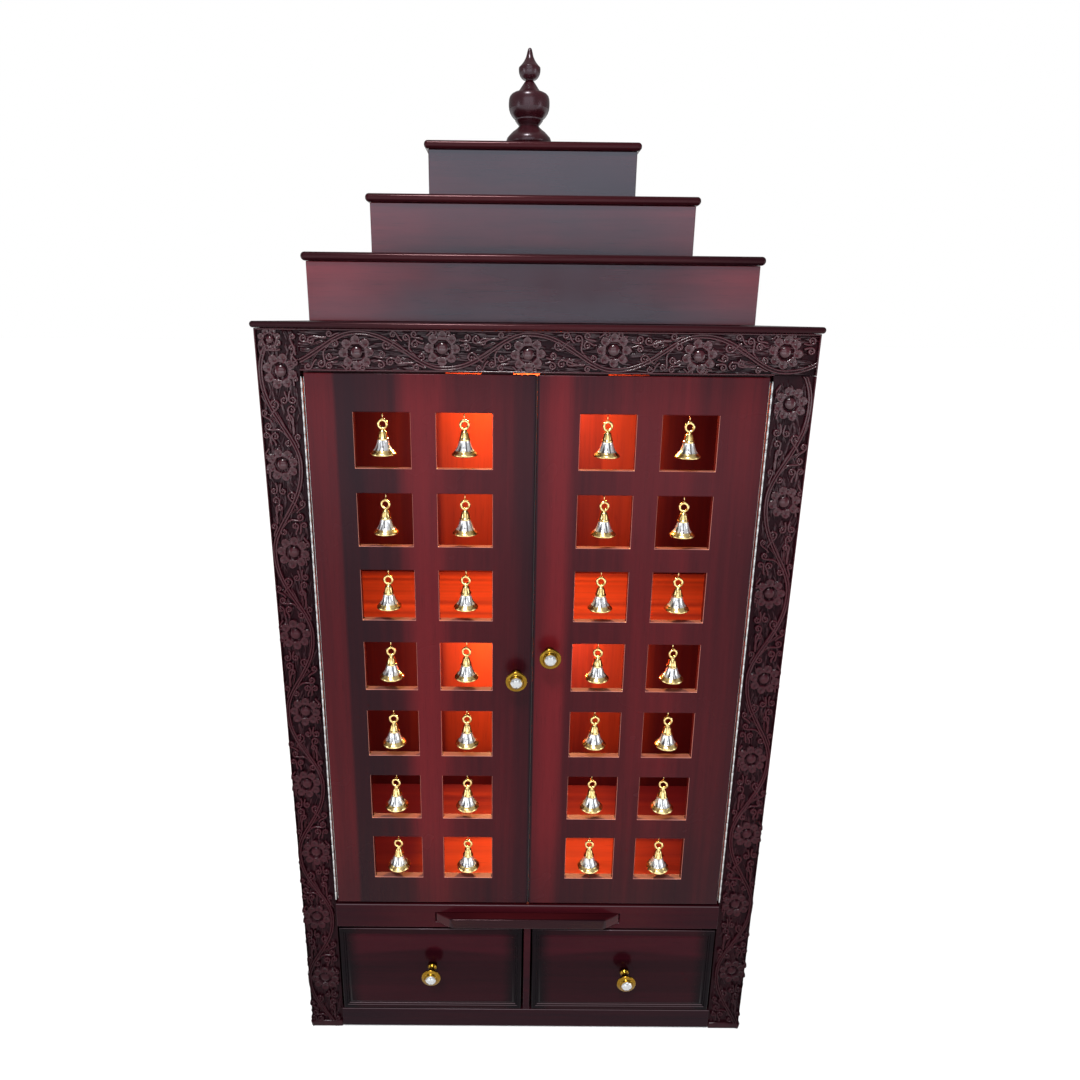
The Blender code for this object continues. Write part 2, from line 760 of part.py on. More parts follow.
# ---------------------------------------------------------------- assembly
def build():
    clear_scene()
    carcass()
    carved_frame()
    lower_front()
    mesh, hang_height = bell_mesh()
    door_knobs = {"left": (-0.0195, 0.5530), "right": (0.0205, 0.5830)}
    drawer_knobs = {"left": (-0.1305, 0.1090), "right": (0.1350, 0.1013)}
    for word, side in (("left", -1), ("right", 1)):
        door_middle = (DOOR_BOTTOM + DOOR_TOP) / 2
        hinge_axis = axis_empty("axis_door_" + word, side * HINGE_AXIS_X, HINGE_AXIS_DEPTH, door_middle)
        door(word, side, hinge_axis)
        piano_hinge(word, side)
        bells(word, side, hinge_axis, mesh, hang_height)
        knob("door_knob_" + word, *door_knobs[word], DOOR_SET_BACK, hinge_axis)
        middle_x = side * (DRAWER_INNER_X + DRAWER_OUTER_X) / 2
        slide = axis_empty("slide_drawer_" + word, middle_x, 0.0, (DRAWER_BOTTOM + DRAWER_TOP) / 2)
        drawer(word, side, slide)
        knob("drawer_knob_" + word, *drawer_knobs[word], 0.0, slide)
    tray(axis_empty("slide_tray", 0.0, 0.0, (SLOT_BOTTOM + SLOT_TOP) / 2))
    roof()
    finial()


build()
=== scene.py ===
import math
import random

import bmesh
import bpy
from mathutils import Matrix, Vector


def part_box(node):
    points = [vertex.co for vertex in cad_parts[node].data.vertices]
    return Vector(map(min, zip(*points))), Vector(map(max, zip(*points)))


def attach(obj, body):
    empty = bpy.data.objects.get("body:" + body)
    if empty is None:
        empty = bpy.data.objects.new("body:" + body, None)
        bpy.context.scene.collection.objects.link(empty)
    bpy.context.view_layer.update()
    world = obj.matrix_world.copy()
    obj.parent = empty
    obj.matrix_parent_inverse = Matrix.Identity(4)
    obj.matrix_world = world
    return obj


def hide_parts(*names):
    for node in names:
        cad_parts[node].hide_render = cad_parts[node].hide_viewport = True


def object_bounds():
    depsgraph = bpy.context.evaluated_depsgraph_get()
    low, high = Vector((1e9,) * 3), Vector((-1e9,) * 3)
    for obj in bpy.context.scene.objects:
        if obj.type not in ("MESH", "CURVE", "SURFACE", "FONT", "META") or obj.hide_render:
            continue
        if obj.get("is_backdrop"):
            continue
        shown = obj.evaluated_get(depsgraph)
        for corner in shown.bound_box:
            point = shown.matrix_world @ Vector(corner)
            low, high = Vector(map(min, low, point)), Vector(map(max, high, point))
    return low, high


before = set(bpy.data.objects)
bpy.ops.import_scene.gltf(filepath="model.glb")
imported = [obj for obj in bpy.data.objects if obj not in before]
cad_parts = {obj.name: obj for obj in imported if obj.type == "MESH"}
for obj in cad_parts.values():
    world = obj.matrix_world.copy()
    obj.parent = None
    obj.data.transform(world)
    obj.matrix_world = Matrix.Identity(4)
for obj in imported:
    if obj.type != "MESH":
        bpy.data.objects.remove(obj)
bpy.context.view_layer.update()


# ---------------------------------------------------------------- sides, base and top board
# The carcass is of hardwood boards, stained dark rosewood and sprayed with a clear gloss lacquer.
# The sides stand on the floor, the top board lies over everything with its front and ends rounded.
class Making:
    """A node tree being built, for a finish or for a shape."""

    def __init__(self, tree):
        self.tree = tree

    def add(self, kind, sockets=None, output=0, **settings):
        """Adds one node, sets its settings, then the values or links of its sockets."""
        node = self.tree.nodes.new(kind)
        for name, value in settings.items():
            setattr(node, name, value)
        for name, value in (sockets or {}).items():
            socket = self.found(node.inputs, name)
            if isinstance(value, Amount):
                self.tree.links.new(value.socket, socket)
            else:
                socket.default_value = value
        return None if output is None else Amount(self, self.found(node.outputs, output))

    def found(self, sockets, name):
        """A socket by its number, its identifier or its name."""
        return next((socket for socket in sockets if socket.identifier == name), None) or sockets[name]

    def place(self):
        """Where a point lies on the object, in metres."""
        return self.add("ShaderNodeTexCoord", {}, "Object")

    def facing(self, axes="XYZ"):
        """Which way the surface looks, as its parts along some of the axes."""
        return self.parts(self.add("ShaderNodeTexCoord", {}, "Normal"), axes)

    def parts(self, vector, axes="XYZ"):
        return [self.add("ShaderNodeSeparateXYZ", {"Vector": vector}, axis) for axis in axes]

    def blended(self, share, first, second):
        """A colour from the first to the second, by a share from 0 to 1."""
        first, second = [colour if isinstance(colour, Amount) else (*colour, 1.0) for colour in (first, second)]
        sockets = {"Factor_Float": share, "A_Color": first, "B_Color": second}
        return self.add("ShaderNodeMix", sockets, "Result_Color", data_type="RGBA")

    def noise(self, place, stretch, detail=3.0, rough=0.55, bend=0.0, shift=(0.0, 0.0, 0.0)):
        """Cloudy variation from 0 to 1, with so many clouds a metre in each direction."""
        stretch = stretch if isinstance(stretch, (list, tuple)) else (stretch,) * 3
        laid = self.add("ShaderNodeMapping", {"Vector": place, "Location": shift, "Scale": stretch})
        sockets = {"Vector": laid, "Scale": 1.0, "Detail": detail, "Roughness": rough, "Distortion": bend}
        return self.add("ShaderNodeTexNoise", sockets)

    def levels(self, value, stops):
        """A value read off a line through the stops, each a place and a height from 0 to 1."""
        line = self.add("ShaderNodeValToRGB", {"Fac": value})
        marks = line.socket.node.color_ramp.elements
        marks[0].position, marks[1].position = stops[0][0], stops[-1][0]
        for place, height in stops[1:-1]:
            marks.new(place)
        for mark, (place, height) in zip(marks, stops):
            mark.color = (height, height, height, 1.0)
        return line


class Amount:
    """An output socket on which sums can be written."""

    def __init__(self, making, socket):
        self.making = making
        self.socket = socket

    def worked(self, operation, *others):
        return self.making.add("ShaderNodeMath", dict(enumerate(others)), operation=operation)

    def eased(self, low, high):
        """0 below the low value, 1 above the high one, and smooth between them."""
        sockets = {"Value": self, "From Min": low, "From Max": high}
        return self.making.add("ShaderNodeMapRange", sockets, interpolation_type="SMOOTHSTEP")

    def __abs__(self):
        return self.worked("ABSOLUTE", self)

    def __truediv__(self, other):
        return self.worked("DIVIDE", self, other)

    def __add__(self, other):
        return self.worked("ADD", self, other)

    def __mul__(self, other):
        return self.worked("MULTIPLY", self, other)

    def __sub__(self, other):
        return self.worked("SUBTRACT", self, other)

    def __rsub__(self, other):
        return self.worked("SUBTRACT", other, self)

    __radd__, __rmul__ = __add__, __mul__


def new_finish(name):
    """A material with nothing in it, and the making of its nodes."""
    material = bpy.data.materials.new(name)
    material.use_nodes = True
    material.node_tree.nodes.clear()
    return material, Making(material.node_tree)


def coated(making, colour, roughness, sockets=None):
    """Closes a finish with its shader."""
    sockets = {"Base Color": colour, "Roughness": roughness, **(sockets or {})}
    shader = making.add("ShaderNodeBsdfPrincipled", sockets)
    making.add("ShaderNodeOutputMaterial", {"Surface": shader}, None)


# The tint of the lacquer's shine.
WARM = (1.0, 0.55, 0.58)


def stained_wood(name, along, dark, light, tone, roughness, shine, tint=WARM, shift=0.0, cut=None, wax=None):
    """Stained and lacquered wood, its grain along one axis. The tone, a number or a rule for each place, runs
    from the dark stain at 0 to the light one at 1. A cut is a mask of painted highlights and painted light on edges,
    with their colour."""
    material, making = new_finish(name)
    place = making.place()
    axes = making.parts(place)
    moved = (shift, shift * 1.7, shift * 0.6)

    def along_the_grain(lengthwise, crosswise, *how):
        return making.noise(place, [lengthwise if axis == along else crosswise for axis in "XYZ"], *how, moved)

    figure = along_the_grain(1.3, 22.0, 4.0, 0.6, 0.6)
    fibres = along_the_grain(5.0, 170.0, 3.0, 0.6, 0.2)
    pores = along_the_grain(26.0, 900.0, 2.0, 0.7, 0.0)
    shade = tone(making, *axes) if callable(tone) else tone
    shade = shade + (figure - 0.5) * 0.55 + (fibres - 0.5) * 0.22
    colour = making.blended(shade.eased(-0.05, 1.05), dark, light)
    colour = making.blended(pores.eased(0.56, 0.74) * 0.35, colour, [c * 0.45 for c in dark])
    # Painted light: highlights and lit edges laid into the colour.
    if cut:
        colour = making.blended(cut[0](making, *axes), colour, cut[1])
    worn = making.noise(place, 9.0, 3.0, 0.6, 0.0, moved)
    height = fibres * 0.6 + pores * 0.4
    grain = making.add("ShaderNodeBump", {"Strength": 0.10, "Distance": 0.0004, "Height": height}, "Normal")
    coat = {"Coat Weight": wax(making, *axes) if wax else 0.0, "Coat Roughness": 0.16, "Normal": grain}
    coat.update({"Specular IOR Level": shine, "Specular Tint": (*tint, 1.0)})
    coated(making, colour, (worn - 0.5) * 0.14 + roughness, coat)
    return material


def from_faces(name, points, faces, smooth=False):
    mesh = bpy.data.meshes.new(name)
    mesh.from_pydata(points, [], faces)
    if smooth:
        mesh.shade_smooth()
    return mesh


def outward(shape):
    """A closed shape with all its faces turned outward."""
    bmesh.ops.recalc_face_normals(shape, faces=shape.faces)
    return shape


def from_shape(name, shape):
    mesh = bpy.data.meshes.new(name)
    shape.to_mesh(mesh)
    shape.free()
    return mesh


def soften(shape, width, steps=2, edges=None):
    """Rounds a board's sharp edges, and shades the roundings alone as curved."""
    if edges is None:
        edges = [edge for edge in shape.edges if edge.calc_face_angle(0.0) > math.radians(25)]
    how = {"offset": width, "segments": steps, "profile": 0.5, "affect": "EDGES", "clamp_overlap": True}
    for face in bmesh.ops.bevel(shape, geom=edges, **how)["faces"]:
        face.smooth = True


def block(low, high):
    """A shape that is one plain block between two corners."""
    low, high = Vector(low), Vector(high)
    shape = bmesh.new()
    bmesh.ops.create_cube(shape, size=1.0)
    bmesh.ops.scale(shape, vec=high - low, verts=shape.verts)
    bmesh.ops.translate(shape, vec=(low + high) / 2, verts=shape.verts)
    return shape


def add_board(shape, low, high, width=0.0006, steps=2, keep_sharp=None):
    """Adds a board between two corners to a shape, with its edges rounded but those that are kept sharp."""
    board = block(low, high)
    edges = [edge for edge in board.edges if not (keep_sharp and keep_sharp(edge))]
    soften(board, width, steps, edges)
    mesh = from_shape("board", board)
    shape.from_mesh(mesh)
    bpy.data.meshes.remove(mesh)


def rubbed(node, width=0.0007, steps=2):
    """A copy of a plain board of the frame with its flats made whole and its edges rubbed round."""
    shape = bmesh.new()
    shape.from_mesh(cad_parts[node].data)
    bmesh.ops.remove_doubles(shape, verts=shape.verts, dist=0.00002)
    bmesh.ops.dissolve_limit(shape, angle_limit=math.radians(1), verts=shape.verts, edges=shape.edges)
    for face in shape.faces:
        face.smooth = False
    soften(shape, width, steps)
    return shape


def set_up(name, data):
    """An object made of a mesh, a light or a camera, standing in the scene."""
    thing = bpy.data.objects.new(name, data)
    bpy.context.scene.collection.objects.link(thing)
    return thing


def fitted(name, mesh, finish, body, slot, *stands_for):
    """A finished piece from a mesh or a shape in its place, with its body and the nodes it stands for."""
    if isinstance(mesh, bmesh.types.BMesh):
        mesh = from_shape(name, mesh)
    mesh.materials.clear()
    mesh.materials.append(finish)
    piece = set_up(name, mesh)
    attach(piece, body)
    if stands_for:
        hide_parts(*stands_for)


def dressed(name, node, finish, body="cabinet", slot="cabinet_wood", width=0.0007, steps=2):
    """A piece that is a plain board of the frame with its edges rubbed."""
    fitted(name, rubbed(node, width, steps), finish, body, slot, node)


def side_tone(making, x, y, z):
    edge = (0.157 - abs(y - 0.0135)).eased(0.0, 0.05)
    return 0.18 + 0.32 * edge * z.eased(0.0, 0.10)


SIDE_FINISH = stained_wood(
    "side_lacquer", "Z", (0.0200, 0.0040, 0.0056), (0.1350, 0.0125, 0.0150), side_tone, 0.30, 0.16
)
for hand in ("left", "right"):
    dressed(f"{hand}_side", f"side_panel_{hand}", SIDE_FINISH)
dressed("base", "base_board", SIDE_FINISH)


def top_tone(making, x, y, z):
    return 0.16 + 0.30 * (abs(x) * -1.0).eased(-0.30, -0.05)


def bullnosed(node, width):
    """A board of the frame made again with its front and ends fully rounded and its back edges square."""
    low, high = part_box(node)
    shape = bmesh.new()
    add_board(shape, low, high, width, 6, lambda edge: all(v.co.y > high.y - 0.001 for v in edge.verts))
    return shape


TOP_FINISH = stained_wood("top_lacquer", "X", (0.008, 0.0020, 0.0036), (0.0520, 0.0060, 0.0085), top_tone, 0.18, 0.16)
fitted("rounded_top", bullnosed("top_board", 0.0033), TOP_FINISH, "cabinet", "cabinet_wood", "top_board")


# ---------------------------------------------------------------- back panel, niche floor and shelf
# Inside, the same boards have a thinner, redder stain. The back's colour runs almost black at its sides
# and foot, and the floor's is darkened towards the back as painted shade.
NICHE_HALF = 0.287


def cloudy(making, stretch, detail, **axes):
    """Cloudy variation along some of the axes alone."""
    return making.noise(making.add("ShaderNodeCombineXYZ", axes), stretch, detail)


def back_tone(making, x, y, z):
    staves = ((0.0, 0.12), (0.17, 0.16), (0.26, 0.24), (0.275, 0.60), (0.40, 0.64), (0.50, 0.52), (0.63, 0.32))
    staves = (*staves, (0.685, 0.34), (0.69, 0.56), (0.79, 0.54), (0.86, 0.16), (1.0, 0.02))
    middle = making.levels((x + NICHE_HALF) / (2 * NICHE_HALF), staves) * (0.10 + 0.90 * z.eased(0.21, 0.30))
    outer_face = y.eased(0.1420, 0.1430)
    return (middle + (cloudy(making, (30.0, 1.0, 1.0), 1.0, X=x) - 0.5) * 0.16) * (1 - outer_face)


def board_tone_and_rear_shade(making, x, y, z):
    staves = ((0.0, 0.0), (0.20, 0.02), (0.27, 0.50), (0.39, 0.66), (0.50, 0.66), (0.62, 0.56), (0.72, 0.62))
    floor = making.levels((x + NICHE_HALF) / (2 * NICHE_HALF), (*staves, (0.80, 0.38), (0.90, 0.24), (1.0, 0.10)))
    # Painted shade: the floor is darkened towards the back.
    floor = floor * (1 - 0.50 * y.eased(-0.06, 0.08))
    shelf = 0.50 + 0.10 * (abs(x) * -1.0).eased(-0.28, -0.10)
    upper = z.eased(0.50, 0.55)
    bands = (cloudy(making, (1.0, 42.0, 1.0), 1.0, Y=y) - 0.5) * (0.5 + 0.7 * upper)
    return floor + (shelf - floor) * upper + bands


NICHE_DARK = (0.0440, 0.0022, 0.0060)
NICHE_RED = (0.3300, 0.0270, 0.0085)
BACK_FINISH = stained_wood("niche_back_stain", "Z", NICHE_DARK, NICHE_RED, back_tone, 0.38, 0.2, shift=3.0)
SHELF_FINISH = stained_wood("niche_board_stain_and_shade", "X", NICHE_DARK, NICHE_RED, board_tone_and_rear_shade, 0.34, 0.25, shift=5.0)
dressed("niche_back", "back_panel", BACK_FINISH, slot="niche_wood")
dressed("niche_bottom", "niche_floor", SHELF_FINISH, slot="niche_wood")
dressed("shelf", "niche_shelf", SHELF_FINISH, slot="niche_wood", width=0.0014, steps=3)


# ---------------------------------------------------------------- lamps
# Two small disc lamps, each a domed glass that glows warm in a thin metal ring. They are screwed up
# under the top board and under the shelf.
LAMP_COLOUR = (1.0, 0.78, 0.28)
LAMP_DEPTH = 0.072


def evenly_round(count, shift=0.0):
    """Angles evenly round a circle."""
    return [2 * math.pi * (number + shift) / count for number in range(count)]


def in_mm(points):
    """Points given in millimetres, in metres."""
    return [[number / 1000 for number in point] for point in points]


def turned(shape, profile, steps, centre=(0.0, 0.0, 0.0), upright=Matrix.Identity(3)):
    """Adds a turned piece from its profile of radii and heights, which runs down its outer side."""
    rings = []
    for radius, height in profile:
        rings.append([])
        for angle in evenly_round(steps if radius > 1e-6 else 1):
            point = upright @ Vector((radius * math.cos(angle), radius * math.sin(angle), height))
            rings[-1].append(shape.verts.new(Vector(centre) + point))
    for upper, lower in zip(rings, rings[1:]):
        for number in range(steps):
            after = (number + 1) % steps
            corners = [lower[number % len(lower)], lower[after % len(lower)], upper[after % len(upper)]]
            distinct = list(dict.fromkeys([*corners, upper[number % len(upper)]]))
            if len(distinct) > 2:
                shape.faces.new(distinct).smooth = True


def grained(name, grain, detail, colours, roughness, sockets=None):
    """A plain finish. Its colour, and its roughness if that has a least and a range, drift with a fine grain."""
    material, making = new_finish(name)
    drift = making.noise(making.place(), grain, detail)
    colour = (*colours[0], 1.0) if len(colours) == 1 else making.blended(drift, *colours)
    rough = roughness[0] if len(roughness) == 1 else drift * roughness[1] + roughness[0]
    coated(making, colour, rough, sockets)
    return material


METAL = {"Metallic": 1.0}
LAMP_GLOW, glow = new_finish("lamp_glow")
coated(glow, (1.0, 0.9, 0.7, 1.0), 0.5, {"Emission Color": (*LAMP_COLOUR, 1.0), "Emission Strength": 6.0})
RING_STEEL = grained("lamp_ring_steel", (900.0, 900.0, 60.0), 2.0, ((0.66, 0.66, 0.65),), (0.2, 0.2), METAL)
RING_PROFILE = in_mm(((0, 0), (34, 0), (34, -4), (32, -6.5), (28, -7.2), (26.5, -5.5), (0, -5.5)))
GLASS_PROFILE = in_mm(((0, -1), (26.8, -1), (26.8, -5.2), (20, -6.2), (0, -6.8)))
ring_shape, glass_shape = bmesh.new(), bmesh.new()
for above in ("top_board", "niche_shelf"):
    under = min(vertex.co.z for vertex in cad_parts[above].data.vertices)
    turned(ring_shape, RING_PROFILE, 48, (0.0, LAMP_DEPTH, under))
    turned(glass_shape, GLASS_PROFILE, 32, (0.0, LAMP_DEPTH, under))
    light = bpy.data.lights.new("niche_lamp", "AREA")
    light.shape, light.size = "DISK", 0.052
    light.color, light.energy = LAMP_COLOUR, 5.0
    set_up("niche_lamp", light).location = (0.0, LAMP_DEPTH, under - 0.009)
fitted("lamp_rings", outward(ring_shape), RING_STEEL, "cabinet", "hinge_steel")
fitted("lamp_glasses", outward(glass_shape), LAMP_GLOW, "cabinet", "hinge_steel")


# ---------------------------------------------------------------- carved frame
# The face frame is carved by hand in low relief: a fluted vine winds past a row of daisies, with fans
# of long leaves where it crosses, curled buds, and a ground left rough from the gouge.
FRONT_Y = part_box("frame_stile_left")[0].y
HALF = 0.305
FRAME_W = 0.046
FRAME_T = 0.018
GROUND = 0.0045
BORDER = 0.0016
REBATE = 0.0030
FRAME_TOP = 0.9573
OPENING_TOP = 0.9130
SWING = 0.0184
EASED_FOOT = 0.004


def shape_tree(name, build, **inputs):
    """A tree of geometry nodes, which ends with its instances made real and its finish put on."""
    tree = bpy.data.node_groups.new(name, "GeometryNodeTree")
    tree.interface.new_socket("Shape", in_out="OUTPUT", socket_type="NodeSocketGeometry")
    for label, kind in {"Plan": "Geometry", "Pattern": "Object", "Finish": "Material", **inputs}.items():
        tree.interface.new_socket(label, in_out="INPUT", socket_type="NodeSocket" + kind)
    making = Making(tree)
    source = tree.nodes.new("NodeGroupInput")
    given = {socket.name: Amount(making, socket) for socket in source.outputs if socket.name}
    pattern = making.add("GeometryNodeObjectInfo", {"Object": given["Pattern"]}, "Geometry")
    real = making.add("GeometryNodeRealizeInstances", {"Geometry": build(making, pattern, given)})
    done = making.add("GeometryNodeSetMaterial", {"Geometry": real, "Material": given["Finish"]})
    making.add("NodeGroupOutput", {"Shape": done}, None)
    return tree


def grown(tree, plan, pattern, finish, **numbers):
    """The plain mesh that a tree makes from a plan and from the pattern that it repeats or sweeps."""
    stand, held = set_up("plan", plan), set_up("pattern", pattern)
    modifier = stand.modifiers.new("grow", "NODES")
    modifier.node_group = tree
    given = {"Pattern": held, "Finish": finish, **numbers}
    for item in tree.interface.items_tree:
        if item.in_out == "INPUT" and item.name in given:
            modifier[item.identifier] = given[item.name]
    bpy.context.view_layer.update()
    graph = bpy.context.evaluated_depsgraph_get()
    mesh = bpy.data.meshes.new_from_object(stand.evaluated_get(graph))
    bpy.data.objects.remove(stand)
    bpy.data.objects.remove(held)
    return mesh


def repeated(making, pattern, given):
    """One motif set at each point of a plan, turned and sized as the point says."""
    names, kind = ("turn", "size"), "FLOAT_VECTOR"
    turn, size = [making.add("GeometryNodeInputNamedAttribute", {"Name": name}, data_type=kind) for name in names]
    sockets = {"Points": given["Plan"], "Instance": pattern, "Rotation": turn, "Scale": size}
    return making.add("GeometryNodeInstanceOnPoints", sockets)


SET_AT_POINTS = shape_tree("set_at_points", repeated)


def spot(point, turn=0.0, size=(1.0, 1.0, 1.0)):
    """A place on a plan: its point, its turns about the three axes and its size."""
    return (*point, 0.0)[:3], (0.0, 0.0, turn), size


def set_out(motif, finish, places):
    """Copies of a motif mesh, one at each place."""
    plan = from_faces("plan", [place[0] for place in places], [])
    for name, column in (("turn", 1), ("size", 2)):
        attribute = plan.attributes.new(name, "FLOAT_VECTOR", "POINT")
        for data, place in zip(attribute.data, places):
            data.vector = place[column]
    mesh = grown(SET_AT_POINTS, plan, motif, finish)
    for name in ("turn", "size"):
        if name in mesh.attributes:
            mesh.attributes.remove(mesh.attributes[name])
    return mesh


def woven(start, rows, width, closed):
    """Faces between neighbouring rows of points, all of one width."""
    faces = []
    for low in range(start, start + (rows - 1) * width, width):
        for number in range(width if closed else width - 1):
            after = (number + 1) % width
            faces.append((low + number, low + width + number, low + width + after, low + after))
    return faces


def daisy():
    """Eight round cupped petals round a domed boss that sits in a deep dish."""
    petals, steps = 8, 80
    slice_width = 2 * math.pi / petals
    reaches = (0.0, 1.8, 3.6, 5.2, 6.5, 7.3, 7.8, 8.3, 9.2, 10.2, 11.2, 12.1, 12.9, 13.7, 14.4, 15.0, 15.6)
    reaches = (*reaches, 16.3, 17.1, 18.1, 19.1, 19.9, 20.6, 21.1)
    points = []
    for reach in reaches:
        for angle in evenly_round(steps if reach else 1):
            aside = (angle + slice_width / 2) % slice_width - slice_width / 2
            from_middle = math.hypot((reach * math.cos(aside) - 15.0) / 1.1, reach * math.sin(aside))
            if reach < 7.9:
                height = 3.7 * math.sqrt(1 - (reach / 7.92) ** 2)
            elif reach < 8.5:
                height = -0.9
            else:
                dish = -0.9 + 3.6 * min(1.0, (reach - 8.3) / 3.0)
                petal = 2.5 + 1.3 * (from_middle / 5.6) ** 2 - 0.8 * max(0.0, 1 - (from_middle / 1.5) ** 2)
                fall = max(0.0, min(1.0, (from_middle - 5.5) / 0.6))
                petal -= (petal + 1.2) * fall * fall * (3 - 2 * fall)
                height = max(min(petal, dish + 1.2), dish - 5.0 * max(0.0, min(1.0, (reach - 12.4) / 2.2)))
            points.append((reach * math.cos(angle), reach * math.sin(angle), height))
    middle = [(0, 1 + number, 1 + (number + 1) % steps) for number in range(steps)]
    return from_faces("daisy", in_mm(points), middle + woven(1, len(reaches) - 1, steps, True), True)


def long_leaf():
    """A pointed leaf 36 mm long with a groove down its middle, curving away to one side."""
    stations, bend = 13, 0.003
    section = ((-1.0, -0.35), (-0.82, 0.45), (-0.45, 1.0), (-0.14, 0.80), (0.0, 0.38))
    section = (*section, *[(-across, up) for across, up in section[-2::-1]])
    points = []
    for station in range(stations):
        share = station / (stations - 1)
        half = 0.0002 + 0.0028 * math.sin(math.pi * share**0.8) ** 0.8
        rise = 0.0006 + 0.0030 * math.sin(math.pi * min(1.0, share * 0.85 + 0.08)) ** 0.6
        for across, up in section:
            aside = across * half + bend * share * share
            points.append((0.036 * share, aside, rise * up if up > 0 else -0.0012))
    return from_faces("long_leaf", points, woven(0, stations, len(section), False), True)


def seed():
    """The little domed seed in the eye of a tendril."""
    shape = bmesh.new()
    turned(shape, in_mm(((0, 3.0), (0.9, 2.7), (1.5, 1.6), (1.7, -0.8))), 10)
    return from_shape("seed", outward(shape))


def curling(start, heading, eye, radius, way):
    """A line that leaves its start along a heading, sweeps to one side of the eye and curls round it."""
    start, eye = Vector(start), Vector(eye)
    along = (eye - start).normalized()
    across = Vector((-along.y, along.x)) * way
    entry = eye + across * radius
    reach = (entry - start).length
    leave = start + Vector((math.cos(heading), math.sin(heading))) * reach * 0.38
    arrive = entry - along * reach * 0.34
    line = []
    for step in range(8):
        t = step / 8
        line.append(start * (1 - t) ** 3 + leave * 3 * t * (1 - t) ** 2 + arrive * 3 * t * t * (1 - t) + entry * t**3)
    first = math.atan2(across.y, across.x)
    for step in range(12):
        angle = first - way * step * 0.50
        line.append(eye + Vector((math.cos(angle), math.sin(angle))) * radius * (1.0 - 0.035 * step))
    return [(point.x, point.y) for point in line]


def gouge_ridge():
    """The low ridge that is left between two strokes of the gouge."""
    points = ((-8.0, 0.0, -0.3), (-4.4, -1.6, -0.3), (4.2, -1.4, -0.3), (8.0, 0.0, -0.3))
    points = (*points, (4.2, 1.4, -0.3), (-4.4, 1.6, -0.3), (-4.2, 0.15, 2.3), (4.0, -0.15, 1.9))
    faces = ((0, 1, 6), (1, 2, 7, 6), (2, 3, 7), (3, 4, 7), (4, 5, 6, 7), (5, 0, 6))
    return from_faces("gouge_ridge", in_mm(points), faces, True)


def strewn(making, pattern, given):
    """Gouge ridges strewn over the ground, each nearly along the grain."""
    seed_number = {"Seed": given["Seed"]}
    ground = {"Mesh": given["Plan"], "Density": given["Per square metre"], **seed_number}
    points = making.add("GeometryNodeDistributePointsOnFaces", ground, "Points")
    leans = {"Min_001": given["Lean"] * -1.0, "Max_001": given["Lean"], **seed_number}
    lean = making.add("FunctionNodeRandomValue", leans, "Value_001", data_type="FLOAT")
    sizes = {"Min": (0.7, 0.8, 0.5), "Max": (1.8, 1.7, 1.3), **seed_number}
    size = making.add("FunctionNodeRandomValue", sizes, "Value", data_type="FLOAT_VECTOR")
    turn = making.add("ShaderNodeCombineXYZ", {"Z": lean})
    sockets = {"Points": points, "Instance": pattern, "Rotation": turn, "Scale": size}
    return making.add("GeometryNodeInstanceOnPoints", sockets)


def swept(making, pattern, given):
    """A section swept along a line, upright all the way."""
    section, line = [making.add("GeometryNodeMeshToCurve", {"Mesh": mesh}) for mesh in (pattern, given["Plan"])]
    line = making.add("GeometryNodeSetCurveNormal", {"Curve": line}, mode="Z_UP")
    return making.add("GeometryNodeCurveToMesh", {"Curve": line, "Profile Curve": section, "Fill Caps": True})


GOUGED_GROUND = shape_tree(
    "gouged_ground", strewn, **{"Per square metre": "Float", "Lean": "Float", "Seed": "Int"}
)
SWEPT_STEM = shape_tree("swept_stem", swept)


def carved_tone_and_hollow_shade(making, x, y, z):
    """Darker in the hollows, partly stain gathered there and partly painted shade in the crevices, and browner up the
    frame.
    """
    raised = (FRONT_Y + GROUND - y).eased(0.0002, 0.0038)
    return 0.10 + 0.08 * z.eased(0.50, 0.93) + raised * (0.16 + 0.26 * z.eased(0.0, 0.45))


def carved_wax(making, x, y, z):
    """Polish reached the tops of the carving and hardly the ground, and most of it the head of the frame."""
    raised = (FRONT_Y + GROUND - y).eased(0.0002, 0.0034)
    head = z.eased(0.60, 0.93)
    return 0.03 + 0.06 * head + raised * (0.09 + 0.12 * z.eased(0.10, 0.60) + 0.62 * head)


def carved_finish(name, along):
    dark, light = (0.0060, 0.0014, 0.0025), (0.0600, 0.0095, 0.0150)
    return stained_wood(name, along, dark, light, carved_tone_and_hollow_shade, 0.22, 0.03, (0.9, 0.8, 0.9), wax=carved_wax)


# Half widths and heights of a stem's section in mm, and what stands on its shoulders as shares of both.
VINE = (2.7, 4.1, ((0.84, 0.86), (0.58, 1.0), (0.30, 0.92), (0.10, 0.42)))
TENDRIL = (1.45, 3.8, ((0.62, 0.90), (0.0, 1.0)))


def stems(lines, stem, finish):
    """Stems of one section, flat underneath, swept along all the lines."""
    half, height, tops = stem
    side = [(half, -1.4), (half * 0.96, height * 0.45), *[(half * across, height * up) for across, up in tops]]
    other = [(-across, up) for across, up in side if across]
    around = in_mm([(across, -up, 0.0) for across, up in other + side[::-1]])
    section = bpy.data.meshes.new("stem_section")
    section.from_pydata(around, [(number, (number + 1) % len(around)) for number in range(len(around))], [])
    points, edges = [], []
    for order, line in enumerate(lines):
        edges += [(len(points) + number, len(points) + number + 1) for number in range(len(line) - 1)]
        points += [(x, y, -0.00012 * (order % 5)) for x, y in line]
    path = bpy.data.meshes.new("stem_lines")
    path.from_pydata(points, edges, [])
    return grown(SWEPT_STEM, path, section, finish)


